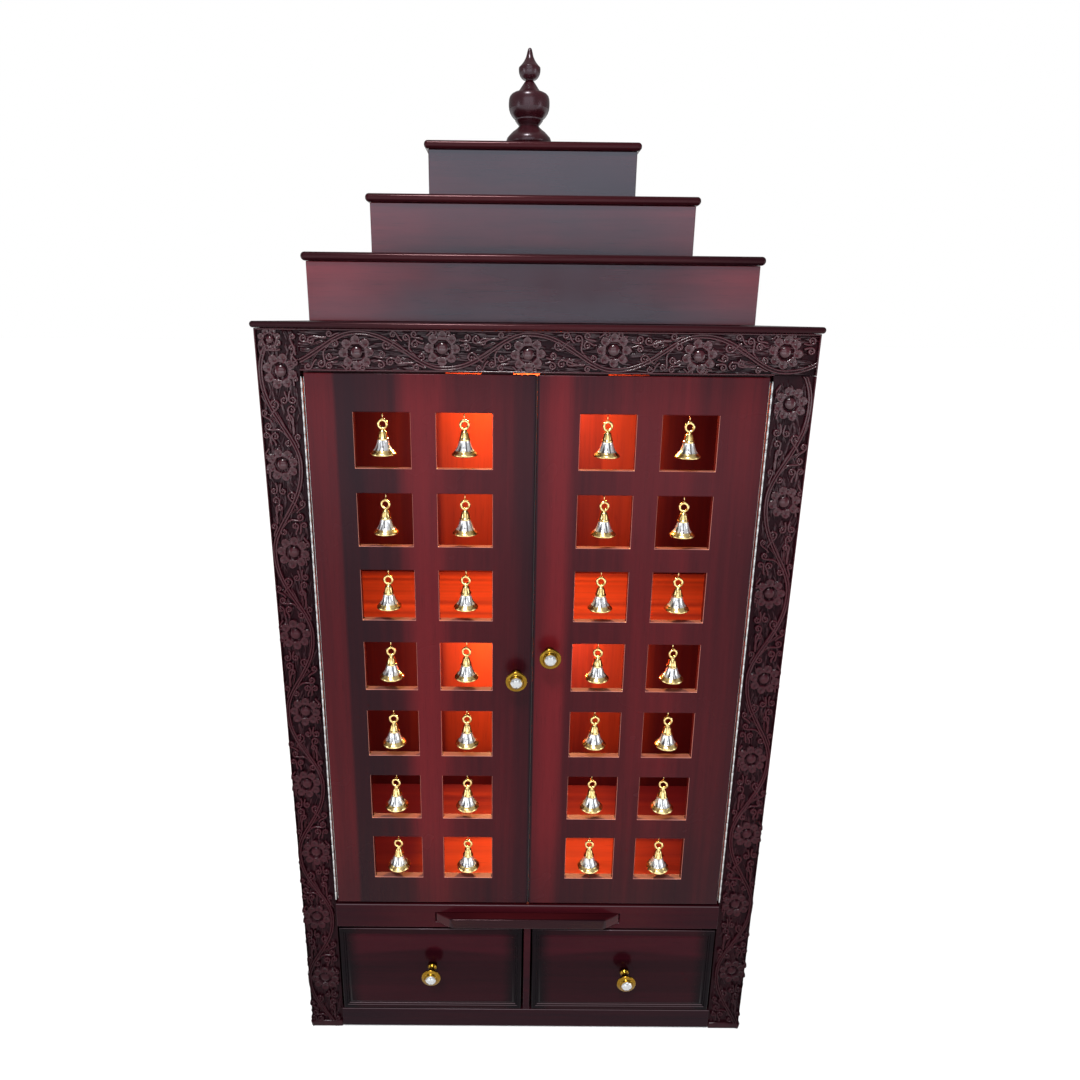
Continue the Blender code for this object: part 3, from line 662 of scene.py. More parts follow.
# In each space between two daisies, in mm from its middle: where a tendril leaves the vine, its
# heading, its eye, the radius it curls at, and which way.
TENDRILS = (
    (4.0, 10.0, 160, -6.7, 17.4, 2.5, -1),
    (15.0, -1.0, 150, 8.2, 14.0, 2.8, -1),
    (29.0, 12.0, 150, 19.0, 17.2, 2.5, 1),
    (30.0, 8.0, 200, 19.4, 7.4, 2.8, -1),
    (-2.0, 11.0, 190, -15.5, 6.4, 3.5, 1),
    (17.0, -13.0, 195, -11.0, -12.4, 3.0, -1),
    (17.0, -13.0, 170, -1.6, -9.6, 2.7, 1),
    (32.0, -17.5, 190, 20.0, -17.4, 2.4, -1),
    (15.0, -2.0, -30, 27.0, -6.4, 2.8, -1),
    (-31.0, -12.0, 20, -21.5, -14.6, 2.8, 1),
    (-30.0, -6.0, -10, -21.0, -4.2, 2.6, -1),
    (33.0, 16.0, 20, 42.5, 19.3, 1.9, 1),
    (-36.0, -17.0, 190, -44.0, -19.0, 2.0, -1),
)
# Beside the vine: where a long leaf is rooted, its heading, and its length and width as shares.
SPIKES = ((15.0, -6.4, 152, 0.78, 0.62), (16.5, -10.2, 168, 0.55, 0.60), (9.0, -1.5, 133, 0.62, 0.50))
DRAWN_PITCH = 0.1034
VINE_STEPS = 24
OVERRUN, MARGIN = 0.003, 0.006


def relief(first, pitch, daisies, swing, low_end, high_end, finish, seed_number):
    """The carving of one board, its length along X, its width along Y and its face up."""
    chance = random.Random(seed_number)
    flowers, spikes, seeds, vine, tendrils = [], [], [], [], []
    for number in range(daisies):
        aside = -math.copysign(0.0026, swing) * (1 if number % 2 == 0 else -1)
        size = 0.89 + 0.04 * chance.random()
        turn = chance.uniform(-0.3, 0.3)
        flowers.append(spot((first + pitch * number, aside), turn, (size, size * 0.97, 1.0)))
    for number in range(-1, daisies):
        start = first + pitch * number
        side = swing if number % 2 == 0 else -swing
        hand = math.copysign(1.0, side)
        for step in range(VINE_STEPS):
            x = start + pitch * step / VINE_STEPS
            if low_end - OVERRUN < x < high_end + OVERRUN:
                vine.append((x, side * math.cos(math.pi * (step / VINE_STEPS) ** 1.18)))
        middle, scale = start + pitch / 2, pitch / DRAWN_PITCH / 1000

        def placed(along, across):
            return (middle + along * scale, hand * across / 1000)

        def on_the_board(point):
            return low_end + MARGIN < point[0] < high_end - MARGIN

        for x, y, heading, eye_x, eye_y, radius, way in TENDRILS:
            eye = placed(eye_x + chance.uniform(-0.8, 0.8), eye_y + chance.uniform(-0.5, 0.5))
            if on_the_board(eye):
                radius *= chance.uniform(1.22, 1.42) / 1000
                tendrils.append(curling(placed(x, y), hand * math.radians(heading), eye, radius, way * hand))
                seeds.append(spot(eye, chance.uniform(-0.5, 0.5), (radius / 0.0026, radius / 0.0036, 1.1)))
        for x, y, heading, length, width in SPIKES:
            root = placed(x, y)
            if on_the_board(root):
                turn = hand * math.radians(heading) + chance.uniform(-0.06, 0.06)
                spikes.append(spot(root, turn, (length, width, 1.15)))
    motifs = ((daisy(), flowers), (seed(), seeds), (long_leaf(), spikes))
    parts = [set_out(motif, finish, places) for motif, places in motifs]
    return [*parts, stems([vine], VINE, finish), stems(tendrils, TENDRIL, finish)]


def gouged(x0, x1, half, finish, seed_number, thickly, lean):
    """The rough ground of a board, between two places of its length and to the same width on both sides."""
    plan = from_faces("ground", ((x0, -half, 0), (x1, -half, 0), (x1, half, 0), (x0, half, 0)), [(0, 1, 2, 3)])
    numbers = {"Per square metre": thickly, "Lean": lean, "Seed": seed_number}
    return grown(GOUGED_GROUND, plan, gouge_ridge(), finish, **numbers)


def laid(parts, matrix):
    for mesh in parts:
        mesh.transform(matrix)
    return parts


def plank(x0, x1, z0, z1, front=0.0, back=0.006, width=0.0007):
    """A plain part of the frame: its corners, set so far behind the frame's front, and its rounding."""
    return (min(x0, x1), FRONT_Y + front, z0), (max(x0, x1), FRONT_Y + back, z1), width


def carved_board(name, node, finish, parts, limits, boards):
    """Joins a board, its plain borders and its carving, kept within the board's outline."""
    shape = bmesh.new()
    for mesh in parts:
        shape.from_mesh(mesh)
    x0, x1, z0, z1 = limits
    for vertex in shape.verts:
        vertex.co.x = min(max(vertex.co.x, x0), x1)
        vertex.co.z = min(max(vertex.co.z, z0), z1)
        vertex.co.y = max(vertex.co.y, FRONT_Y)
    for board in boards:
        add_board(shape, *board)
    for vertex in shape.verts:
        reach = HALF - EASED_FOOT + vertex.co.z
        if abs(vertex.co.x) > reach:
            vertex.co.x = math.copysign(reach, vertex.co.x)
    fitted(name, shape, finish, "cabinet", "frame_wood", node)


def stile(hand, side, top, first_z, pitch, daisies, swing, rebate, head=0.0, crossing_in=()):
    """One upright of the face frame. Its carving keeps clear of its inner edge by the rebate."""
    outer, inner = side * HALF, side * (HALF - FRAME_W)
    middle = (outer + inner) / 2 + side * 0.0008
    parts = relief(top - first_z, pitch, daisies, swing, head, top, STILE_FINISH, 3 + side)
    parts.append(gouged(0.004, top - 0.006, FRAME_W / 2 - REBATE, STILE_FINISH, 3 + side, 24000.0, 0.45))
    laid(parts, Matrix(((0, -1, 0, middle), (0, 0, -1, FRONT_Y + GROUND), (-1, 0, 0, top), (0, 0, 0, 1))))
    boards = [
        plank(outer, inner, 0.0, top, GROUND, FRAME_T, 0.0002),
        plank(outer, outer - side * BORDER, 0.0, top),
        plank(outer, inner, 0.0, 0.0100, 0.0006, 0.009, 0.0022),
    ]
    if crossing_in:
        boards.append(plank(outer, inner, top - BORDER, top))
    limits = (*sorted((inner + side * rebate, outer - side * 0.0006)), 0.001, top - 0.0004)
    node = f"frame_stile_{hand}"
    carved_board(f"{hand}_carved_stile", node, STILE_FINISH, [*parts, *crossing_in], limits, boards)


def corner_carving():
    """The carving at the left corner, where the stile's daisies and the rail's vine meet."""
    small = [spot((-0.2890, 0.0100), 0.4, (0.62, 0.60, 1.04))]
    line = [(-0.2560, -0.0111), (-0.2610, -0.0133), (-0.2660, -0.0152), (-0.2715, -0.0166)]
    eyes = ((-0.2655, 0.0020), (-0.2640, 0.0135), (-0.2975, -0.0035))
    curls = [
        curling((-0.266, -0.012), math.radians(120), eyes[0], 0.0030, -1),
        curling((-0.262, -0.006), math.radians(90), eyes[1], 0.0028, 1),
        curling((-0.278, 0.000), math.radians(200), eyes[2], 0.0026, -1),
    ]
    parts = [set_out(daisy(), STILE_FINISH, small), set_out(seed(), STILE_FINISH, [spot(eye) for eye in eyes[:2]])]
    return laid([*parts, stems([line], VINE, STILE_FINISH), stems(curls, TENDRIL, STILE_FINISH)], RAIL_PLACE)


STILE_FINISH = carved_finish("carved_stile_lacquer", "Z")
RAIL_FINISH = carved_finish("carved_rail_lacquer", "X")
RAIL_MIDDLE = (FRAME_TOP + OPENING_TOP) / 2
RAIL_PLACE = Matrix(((1, 0, 0, 0), (0, 0, -1, FRONT_Y + GROUND), (0, 1, 0, RAIL_MIDDLE), (0, 0, 0, 1)))
stile("left", -1, FRAME_TOP, 0.9120, 0.1034, 9, SWING, 0.0006, 0.020, corner_carving())
stile("right", 1, OPENING_TOP - 0.0003, 0.8826, 0.1116, 8, -SWING, REBATE)

x0, x1 = FRAME_W - HALF, HALF
parts = relief(-0.1963, 0.093, 6, SWING, x0, x1, RAIL_FINISH, 11)
parts.append(gouged(x0, x1 - 0.004, FRAME_TOP - RAIL_MIDDLE - BORDER, RAIL_FINISH, 9, 30000.0, 0.14))
boards = [
    plank(x0, x1, OPENING_TOP, FRAME_TOP, GROUND, FRAME_T, 0.0002),
    plank(x0, x1, FRAME_TOP - BORDER, FRAME_TOP),
    plank(x0, x1 - FRAME_W, OPENING_TOP, OPENING_TOP + BORDER, 0.001),
    plank(x1 - BORDER, x1, OPENING_TOP, FRAME_TOP),
]
limits = (x0 + 0.0001, x1 - 0.0004, OPENING_TOP + 0.0004, FRAME_TOP - 0.0004)
carved_board("carved_rail", "frame_top_rail", RAIL_FINISH, laid(parts, RAIL_PLACE), limits, boards)


# ---------------------------------------------------------------- lower front
# The rail with the tray's slot, the rail at the floor and the divider between the drawers are plain
# boards set flush with the frame, stained darker than the doors.
def painted_arris_highlights(making, x, y, z):
    """The upper edges of the mouldings, made paler where they face up and out: painted highlights."""
    out, up = making.facing("YZ")
    return (abs(out) * up.eased(0.0, 1.0) * 2.0).eased(0.50, 0.95) * 0.7


def lower_tone(making, x, y, z):
    return (0.34 + 0.28 * (abs(x) * -1.0).eased(-0.26, -0.12)) * (0.35 + 0.65 * z.eased(0.02, 0.20))


# Painted highlights on the upper edges of the mouldings, and their colour.
ARRIS_HIGHLIGHTS = (painted_arris_highlights, (0.085, 0.060, 0.066))
LOWER_DARK, LOWER_LIGHT = (0.0055, 0.0014, 0.0030), (0.044, 0.0036, 0.0060)
LOWER_FINISH = stained_wood(
    "lower_rail_lacquer", "X", LOWER_DARK, LOWER_LIGHT, lower_tone, 0.20, 0.07, (0.95, 0.80, 0.95), 8.0, ARRIS_HIGHLIGHTS
)
dressed("slotted_rail", "tray_rail", LOWER_FINISH, width=0.0014, steps=3)
dressed("floor_rail", "base_rail", LOWER_FINISH, width=0.0008)
dressed("divider", "drawer_divider", LOWER_FINISH)


# ---------------------------------------------------------------- doors
# Each door is one glued-up slab, pierced with two columns of seven square windows. The staves took the
# stain unevenly, so light and dark bands run up the slabs. A thin near-black strip on the left door fills
# the gap between them, and the doors darken along the edges where they meet: both are painted shade.
# The windows' sills and edges are made paler as painted light.
DOORS_HALF = 0.2545
DOORS_TOP = 0.9108
WINDOWS_MIDDLE = 0.1273
# The stain's bands from the left door's outer edge to the right door's: place and shade.
DOOR_BANDS = (
    ((0.000, 0.62), (0.058, 0.66), (0.066, 0.36), (0.110, 0.30), (0.190, 0.46), (0.212, 0.74), (0.236, 0.86)),
    ((0.290, 0.78), (0.310, 0.60), (0.420, 0.50), (0.485, 0.38), (0.499, 0.36), (0.501, 0.66), (0.545, 0.88)),
    ((0.565, 0.86), (0.585, 0.54), (0.620, 0.52), (0.740, 0.66), (0.840, 0.68), (0.870, 0.58), (0.940, 0.56)),
    ((1.000, 0.40),),
)


def door_tone_and_gap_shade(making, x, y, z):
    staves = making.levels((x + DOORS_HALF) / (2 * DOORS_HALF), sum(DOOR_BANDS, ()))
    # Painted shade: the doors darken to nearly black along the gap where they meet.
    meeting = abs(x).eased(0.0012, 0.0040)
    outer = x.eased(0.19, 0.24) * z.eased(0.66, 0.86) * 0.16
    right_foot = x.eased(-0.05, 0.20) * (1 - z.eased(0.24, 0.50)) * 0.4
    foot = 0.55 + 0.45 * z.eased(0.205, 0.36)
    head = 0.80 + 0.20 * (DOORS_TOP - z).eased(0.0, 0.04)
    return (staves * meeting - 0.20 + outer) * (1 - right_foot) * foot * head * (0.92 + 0.14 * z.eased(0.68, 0.88))


def painted_sill_and_edge_light(making, x, y, z):
    """Painted light: the windows' sills, made pale as if lit from inside, and the edges round the windows, made pale
    as painted highlights.
    """
    aside, out, up = making.facing()
    edge = (abs(out) * (abs(aside) + up.eased(0.0, 1.0)) * 2.0).eased(0.55, 0.95) * 0.75
    columns = 1 - abs(abs(x) - WINDOWS_MIDDLE).eased(0.100, 0.110)
    windows = columns * z.eased(0.216, 0.224) * (1 - z.eased(0.890, 0.898))
    return edge * windows + up.eased(0.90, 0.99) * (1 - z.eased(0.880, 0.890)) * 0.28


# Painted light on the sills and edges round the windows, and its colour.
SILL_AND_EDGE_LIGHT = (painted_sill_and_edge_light, (0.48, 0.19, 0.15))
DOOR_DARK, DOOR_LIGHT = (0.0080, 0.0012, 0.0028), (0.1150, 0.0066, 0.0088)
DOOR_FINISH = stained_wood(
    "door_lacquer", "Z", DOOR_DARK, DOOR_LIGHT, door_tone_and_gap_shade, 0.26, 0.13, (1.0, 0.78, 0.86), 1.0, SILL_AND_EDGE_LIGHT
)
# Painted shade: a near-black strip that fills the gap between the doors.
GAP_SHADE_STRIP_FINISH = grained("gap_shade_black", 1500.0, 2.0, ((0.006, 0.004, 0.005), (0.022, 0.016, 0.018)), (0.95,))
for hand in ("left", "right"):
    dressed(f"{hand}_door_slab", f"door_{hand}", DOOR_FINISH, f"door_{hand}", width=0.0009, steps=3)
GAP_STRIP_T = 0.0014
low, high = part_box("door_left")
strip = bmesh.new()
strip_low = (high.x, low.y + 0.0012, low.z + 0.001)
add_board(strip, strip_low, (high.x + GAP_STRIP_T, low.y + 0.0060, high.z - 0.001), 0.0001, 1)
fitted("felt_strip", strip, GAP_SHADE_STRIP_FINISH, "door_left", "cabinet_wood")


# ---------------------------------------------------------------- door stops
# Short lengths of dark lath, joined by a thin strip and tacked up under the head of the opening. The
# doors close against them.
STOPS_END = 0.2580
STOPS_FOOT, STRIP_FOOT = 0.9040, 0.9118
stops = bmesh.new()
for x0, x1 in ((-STOPS_END, -0.1010), (-0.0610, -0.0260), (0.0030, 0.0790), (0.1230, STOPS_END)):
    add_board(stops, (x0, FRONT_Y + 0.0114, STOPS_FOOT), (x1, FRONT_Y + 0.0174, OPENING_TOP - 0.0002), 0.0006)
x0, x1 = 0.0004 - STOPS_END, STOPS_END - 0.0004
add_board(stops, (x0, FRONT_Y + 0.0118, STRIP_FOOT), (x1, FRONT_Y + 0.0170, OPENING_TOP - 0.0004), 0.0003)
fitted("door_stops", stops, TOP_FINISH, "cabinet", "cabinet_wood")


# ---------------------------------------------------------------- hinges
# A full-height piano hinge of bright steel carries each door: a row of rolled knuckles on a pin, one
# leaf screwed to the stile's edge and one to the door's edge.
KNUCKLE = 0.0125
HINGE_R = 0.0011
PIN_X, PIN_BEFORE = 0.2570, 0.0004
LEAF_BEHIND, LEAF_DEPTH, SCREW_DEPTH = 0.0030, 0.0100, 0.0066
EASE = 0.0002
HINGE_STEEL = grained("piano_hinge_steel", (2200.0, 2200.0, 240.0), 3.0, ((0.46, 0.45, 0.45),), (0.16, 0.24), METAL)


def knuckle():
    """One rolled knuckle, its ends slightly rounded."""
    shape = bmesh.new()
    half = KNUCKLE / 2 - EASE
    upper = ((0.0, half), (HINGE_R - EASE, half), (HINGE_R, half - EASE))
    turned(shape, [*upper, *[(radius, -height) for radius, height in reversed(upper)]], 16)
    return from_shape("knuckle", outward(shape))


def screw_head():
    """A countersunk head with a cross cut in it, flush in the leaf."""
    shape = bmesh.new()
    turned(shape, ((0.0, 0.00005), (0.0007, 0.00012), (0.0017, 0.00012), (0.0018, -0.0002)), 12)
    for across, along in ((0.0010, 0.00018), (0.00018, 0.0010)):
        bar = Matrix.Translation((0, 0, 0.0001)) @ Matrix.Diagonal((2 * across, 2 * along, 0.0001, 1))
        bmesh.ops.create_cube(shape, size=1.0, matrix=bar)
    return from_shape("screw_head", outward(shape))


for hand, side in (("left", -1), ("right", 1)):
    low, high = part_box(f"piano_hinge_{hand}")
    pin_x, pin_y = side * PIN_X, FRONT_Y - PIN_BEFORE
    count = int((high.z - low.z) / KNUCKLE)
    start = (low.z + high.z - count * KNUCKLE) / 2 + KNUCKLE / 2
    # The body that a leaf is screwed to, its first knuckle, and how far out its face and its back lie.
    for body, first, face, back in (("cabinet", 0, 0.2578, 0.2585), (f"door_{hand}", 1, 0.2553, 0.2546)):
        heights = [start + KNUCKLE * number for number in range(first, count, 2)]
        shape = bmesh.new()
        shape.from_mesh(set_out(knuckle(), HINGE_STEEL, [spot((pin_x, pin_y, z)) for z in heights]))
        x0, x1 = sorted((side * face, side * back))
        leaf_high = (x1, FRONT_Y + LEAF_DEPTH, start + (count - 0.5) * KNUCKLE)
        add_board(shape, (x0, pin_y + LEAF_BEHIND, start - KNUCKLE / 2), leaf_high, 0.0001, 1)
        tilt = math.copysign(math.pi / 2, side * (face - back))
        screws = [((side * face, FRONT_Y + SCREW_DEPTH, z), (0, tilt, 0), (1, 1, 1)) for z in heights[1::4]]
        shape.from_mesh(set_out(screw_head(), HINGE_STEEL, screws))
        nodes = [] if first else [f"piano_hinge_{hand}"]
        fitted(f"{hand}_hinge_on_{body}", shape, HINGE_STEEL, body, "hinge_steel", *nodes)


# ---------------------------------------------------------------- bells
# A small cast bell hangs in each window from a wire hook: gilt crown, ring and rim, with the flared
# waist between them plated silver, and a little clapper inside.
BELL_TOP = 0.0296
LOOP_R, LOOP_WIRE = 0.0047, 0.0015
HOOK_R, HOOK_WIRE = 0.0019, 0.0005
BEAD_R = 0.0024
BELL_FINISH, metal = new_finish("bell_gilt_and_silver")
around = metal.add("ShaderNodeUVMap", {}, "UV", uv_map="bell")
(up_the_bell,) = metal.parts(around, "Y")
silver = up_the_bell.eased(0.185, 0.205) * (1 - up_the_bell.eased(0.565, 0.580))
# Painted reflections: dark and bright streaks in the silver's colour stand in for the room it mirrors; they also vary
# its roughness.
painted_reflection_streaks = metal.noise(around, (15.0, 0.7, 1.0), 1.0)
patches = metal.noise(around, (11.0, 3.0, 1.0), 3.0).eased(0.34, 0.62)
gold_tone = metal.blended(patches, (0.30, 0.15, 0.03), (0.98, 0.76, 0.34))
silver_with_painted_reflections = metal.blended(painted_reflection_streaks.eased(0.42, 0.54), (0.10, 0.09, 0.09), (0.80, 0.80, 0.82))
two_metals = metal.blended(silver, gold_tone, silver_with_painted_reflections)
coated(metal, two_metals, painted_reflection_streaks * 0.14 + 0.14, {"Metallic": 1.0 - silver * 0.20})

# Radii and heights in mm, down the outside and up again inside.
BELL_PROFILE = (
    ((0.0, 29.6), (1.7, 29.4), (2.5, 28.7), (2.3, 28.0), (3.4, 27.2), (4.3, 25.4), (4.9, 22.8), (5.5, 20.2)),
    ((5.7, 19.2), (6.6, 18.6), (6.7, 17.8), (6.1, 17.2), (6.6, 15.0), (7.4, 12.2), (8.3, 9.8), (9.3, 7.6)),
    ((10.4, 6.2), (11.2, 5.6), (11.5, 5.0), (12.6, 3.9), (13.9, 2.6), (14.7, 1.4), (14.7, 0.6), (14.0, 0.0)),
    ((13.0, 1.0), (10.2, 4.6), (7.6, 9.0), (5.8, 15.0), (3.8, 22.0), (0.0, 24.0)),
)


def add_ring(shape, centre, major, minor, steps, sides, upright):
    """Adds a wire ring that stands in the plane of X and Z, or lies flat."""
    second, normal = [Vector(axis) for axis in (((0, 0, 1), (0, 1, 0)) if upright else ((0, 1, 0), (0, 0, 1)))]
    loops = []
    for angle in evenly_round(steps):
        out = Vector((1, 0, 0)) * math.cos(angle) + second * math.sin(angle)
        loops.append([])
        for turn in evenly_round(sides):
            point = out * (major + minor * math.cos(turn)) + normal * (minor * math.sin(turn))
            loops[-1].append(shape.verts.new(Vector(centre) + point))
    for here, after in zip(loops, loops[1:] + loops[:1]):
        for number in range(sides):
            other = (number + 1) % sides
            shape.faces.new((here[number], after[number], after[other], here[other])).smooth = True


def bell():
    """One bell, its origin at the middle of its rim."""
    shape = bmesh.new()
    turned(shape, in_mm(sum(BELL_PROFILE, ())), 32)
    turned(shape, in_mm(((0.0, 16.0), (0.5, 15.5), (0.5, 3.5), (0.0, 3.0))), 6)
    downs = [math.pi * number / 8 for number in range(9)]
    bead = [(BEAD_R * math.sin(down), -0.0004 + BEAD_R * math.cos(down)) for down in downs]
    turned(shape, bead, 12, (0.0, 0.0, 0.0022))
    add_ring(shape, (0.0, 0.0, BELL_TOP + LOOP_R), LOOP_R, LOOP_WIRE, 24, 8, True)
    top = BELL_TOP + 2 * LOOP_R
    add_ring(shape, (0.0, 0.0, top + 0.0012), HOOK_R, HOOK_WIRE, 14, 6, False)
    wire = ((0.0, top + 0.0079), (HOOK_WIRE, top + 0.0078), (HOOK_WIRE, top + 0.0010), (0.0, top + 0.0008))
    turned(shape, wire, 6, (0.0, HOOK_R, 0.0))
    wrap = outward(shape).loops.layers.uv.new("bell")
    for face in shape.faces:
        middle = math.atan2(face.calc_center_median().y, face.calc_center_median().x)
        for loop in face.loops:
            point = loop.vert.co
            angle = math.atan2(point.y, point.x) if point.xy.length > 1e-6 else middle
            if angle - middle > math.pi:
                angle -= 2 * math.pi
            if middle - angle > math.pi:
                angle += 2 * math.pi
            loop[wrap].uv = (angle / (2 * math.pi), point.z / BELL_TOP)
    return from_shape("bell", shape)


for hand in ("left", "right"):
    nodes = [f"bell_{hand}_r{row}_c{column}" for row in range(1, 8) for column in (1, 2)]
    places = []
    for number, node in enumerate(nodes):
        low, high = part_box(node)
        swung = 0.22 * math.sin(2.4 * number)
        places.append(spot(((low.x + high.x) / 2, FRONT_Y + 0.0055, low.z), swung))
    hung = set_out(bell(), BELL_FINISH, places)
    fitted(f"{hand}_bells", hung, BELL_FINISH, f"door_{hand}", "bell_brass", *nodes)


# ---------------------------------------------------------------- knobs
# One knob on each door and each drawer, of turned brass with a faceted crystal pressed into its face.
# It is screwed through from behind.
KNOB_BRASS = grained("knob_brass", 260.0, 3.0, ((0.13, 0.066, 0.006), (0.30, 0.165, 0.020)), (0.14, 0.16), METAL)
STONE_R, STONE_H = 0.0077, 0.0034
CUT_GLASS = {"Metallic": 0.6, "Specular IOR Level": 0.9, "Coat Weight": 1.0}
CRYSTAL = grained("knob_crystal", 600.0, 1.0, ((0.34, 0.35, 0.38), (0.50, 0.50, 0.48)), (0.03, 0.05), CUT_GLASS)
TOWARD_FRONT = Matrix.Rotation(math.radians(90), 3, "X")
# Radii in mm, each at so many mm back from the crystal's tip.
KNOB_PROFILE = (
    ((0.0, 2.4), (7.9, 2.4), (8.4, 3.2), (8.8, 4.4), (9.8, 5.2), (11.6, 5.4), (12.8, 6.0), (13.0, 6.9), (12.6, 7.9)),
    ((10.6, 9.2), (6.6, 10.8), (4.4, 12.6), (3.6, 14.6), (3.5, 19.0), (4.0, 21.0), (5.8, 22.6), (6.5, 23.6)),
)


def facets(shape, centre, radius, height):
    """A cut stone: a small table, a ring of kites and a girdle, all flat."""
    loops = []
    for share, rise, shift in ((0.48, 1.0, 0.0), (0.80, 0.62, 0.5), (1.0, 0.10, 0.0), (1.0, -0.25, 0.0)):
        loops.append([])
        for angle in evenly_round(8, shift):
            point = Vector((share * radius * math.cos(angle), share * radius * math.sin(angle), rise * height))
            loops[-1].append(shape.verts.new(centre + TOWARD_FRONT @ point))
    table, kites, girdle, foot = loops
    for number in range(8):
        other = (number + 1) % 8
        shape.faces.new((table[number], kites[number], table[other]))
        shape.faces.new((table[other], kites[number], kites[other]))
        shape.faces.new((kites[number], girdle[other], kites[other]))
        shape.faces.new((kites[number], girdle[number], girdle[other]))
        shape.faces.new((girdle[number], foot[number], foot[other], girdle[other]))
    shape.faces.new(table)
    shape.faces.new(foot[::-1])


for place in ("door_left", "door_right", "drawer_left", "drawer_right"):
    kind, hand = place.split("_")
    node = f"{kind}_knob_{hand}"
    low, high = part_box(node)
    reach = high.y - low.y
    foot = Vector(((low.x + high.x) / 2, high.y, (low.z + high.z) / 2))
    profile = [(radius, reach - from_tip) for radius, from_tip in in_mm(sum(KNOB_PROFILE, ()))]
    shape = bmesh.new()
    turned(shape, [*profile, (0.0065, 0.0), (0.0, 0.0)], 40, foot, TOWARD_FRONT)
    fitted(f"{kind}_brass_knob_{hand}", outward(shape), KNOB_BRASS, place, "knob_brass", node)
    stone = bmesh.new()
    facets(stone, foot + Vector((0.0, STONE_H - reach, 0.0)), STONE_R, STONE_H)
    fitted(f"{kind}_crystal_{hand}", outward(stone), CRYSTAL, place, "knob_brass")


# ---------------------------------------------------------------- drawers
# Two drawers with thick moulded fronts over plain boxes of thin boards. The fronts were stained
# lighter in the middle and shaded almost black round the edge.
DRAWERS_MIDDLE, DRAWERS_HALF = 0.1316, 0.1244


def drawer_tone(making, x, y, z):
    aside = abs(abs(x) - DRAWERS_MIDDLE)
    across = (DRAWERS_HALF - aside).eased(0.004, 0.030)
    head = (0.1640 - z).eased(0.0, 0.006) * (z + 0.10 * aside).eased(0.134, 0.142)
    foot = (z - 0.040).eased(0.0, 0.010) * (0.080 - z).eased(0.0, 0.020)
    return 0.04 + across * (0.34 + 0.26 * head + 0.12 * foot)


FRONT_DARK, FRONT_LIGHT = (0.0010, 0.0005, 0.0010), (0.0320, 0.0030, 0.0060)
DRAWER_FINISH = stained_wood(
    "drawer_front_lacquer", "X", FRONT_DARK, FRONT_LIGHT, drawer_tone, 0.16, 0.065, (0.95, 0.75, 0.88), 4.0, ARRIS_HIGHLIGHTS
)
BOX_FINISH = stained_wood("drawer_box_wood", "Y", (0.10, 0.030, 0.018), (0.27, 0.10, 0.055), 0.5, 0.5, 0.2)
# The groove round a front's field: how far each step runs inwards, and how far it rises or falls, in mm.
GROOVE = ((5.5, 0), (0.6, -0.9), (2.8, 0), (0.7, -0.9), (1.6, 0), (3.0, 1.2), (1.0, 0.2))
FRONT_FOOT, FRONT_TOP, FRONT_T = 0.0346, 0.1710, 0.016
BOX_FOOT, BOX_TOP, BOX_SIDE, LAP = 0.0338, 0.1438, 0.009, 0.0002


def moulded_front(low, high):
    """A slab front with rounded edges and a groove run round its field."""
    shape = block(low, high)
    field = min(shape.faces, key=lambda face: face.calc_center_median().y)
    soften(shape, 0.0016, 4, list(field.edges))
    for inset, rise in in_mm(GROOVE):
        shape.normal_update()
        field = max((face for face in shape.faces if face.normal.y < -0.99), key=lambda face: face.calc_area())
        for face in bmesh.ops.inset_individual(shape, faces=[field], thickness=inset, depth=rise)["faces"]:
            face.smooth = rise > 0.0
    return shape


for hand in ("left", "right"):
    node = f"drawer_{hand}"
    low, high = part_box(node)
    front = moulded_front((low.x, FRONT_Y, FRONT_FOOT), (high.x, FRONT_Y + FRONT_T, FRONT_TOP))
    fitted(f"{hand}_drawer_front", front, DRAWER_FINISH, node, "cabinet_wood", node)
    shape = bmesh.new()
    x0, x1, y0, y1 = low.x + 0.003, high.x - 0.003, FRONT_Y + FRONT_T - LAP, high.y
    add_board(shape, (x0, y0, BOX_FOOT), (x0 + BOX_SIDE, y1, BOX_TOP), 0.0008)
    add_board(shape, (x1 - BOX_SIDE, y0, BOX_FOOT), (x1, y1, BOX_TOP), 0.0008)
    x0, x1 = x0 + BOX_SIDE - LAP, x1 - BOX_SIDE + LAP
    add_board(shape, (x0, y1 - 0.0092, BOX_FOOT), (x1, y1 - 0.0004, BOX_TOP - 0.004), 0.0008)
    add_board(shape, (x0, y0, BOX_FOOT + 0.001), (x1, y1 - 0.009, BOX_FOOT + 0.006), 0.0004)
    fitted(f"{hand}_drawer_box", shape, BOX_FINISH, node, "cabinet_wood")


# ---------------------------------------------------------------- pull-out tray
# A flat lacquered board that slides out of its slot for the lamp and offerings. Its edges are rounded,
# and its lip is cut back at the ends.
def tray_tone(making, x, y, z):
    lip = 1 - (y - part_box("pull_out_tray")[0].y).eased(0.0010, 0.0030)
    return (0.34 + 0.20 * (abs(x) * -1.0).eased(-0.12, -0.03)) * (1 - 0.8 * lip)


TRAY_FINISH = stained_wood(
    "tray_lacquer", "X", (0.006, 0.0016, 0.0030), (0.066, 0.0056, 0.0074), tray_tone, 0.18, 0.15, shift=6.0
)
dressed("tray", "pull_out_tray", TRAY_FINISH, "tray", width=0.0016, steps=4)


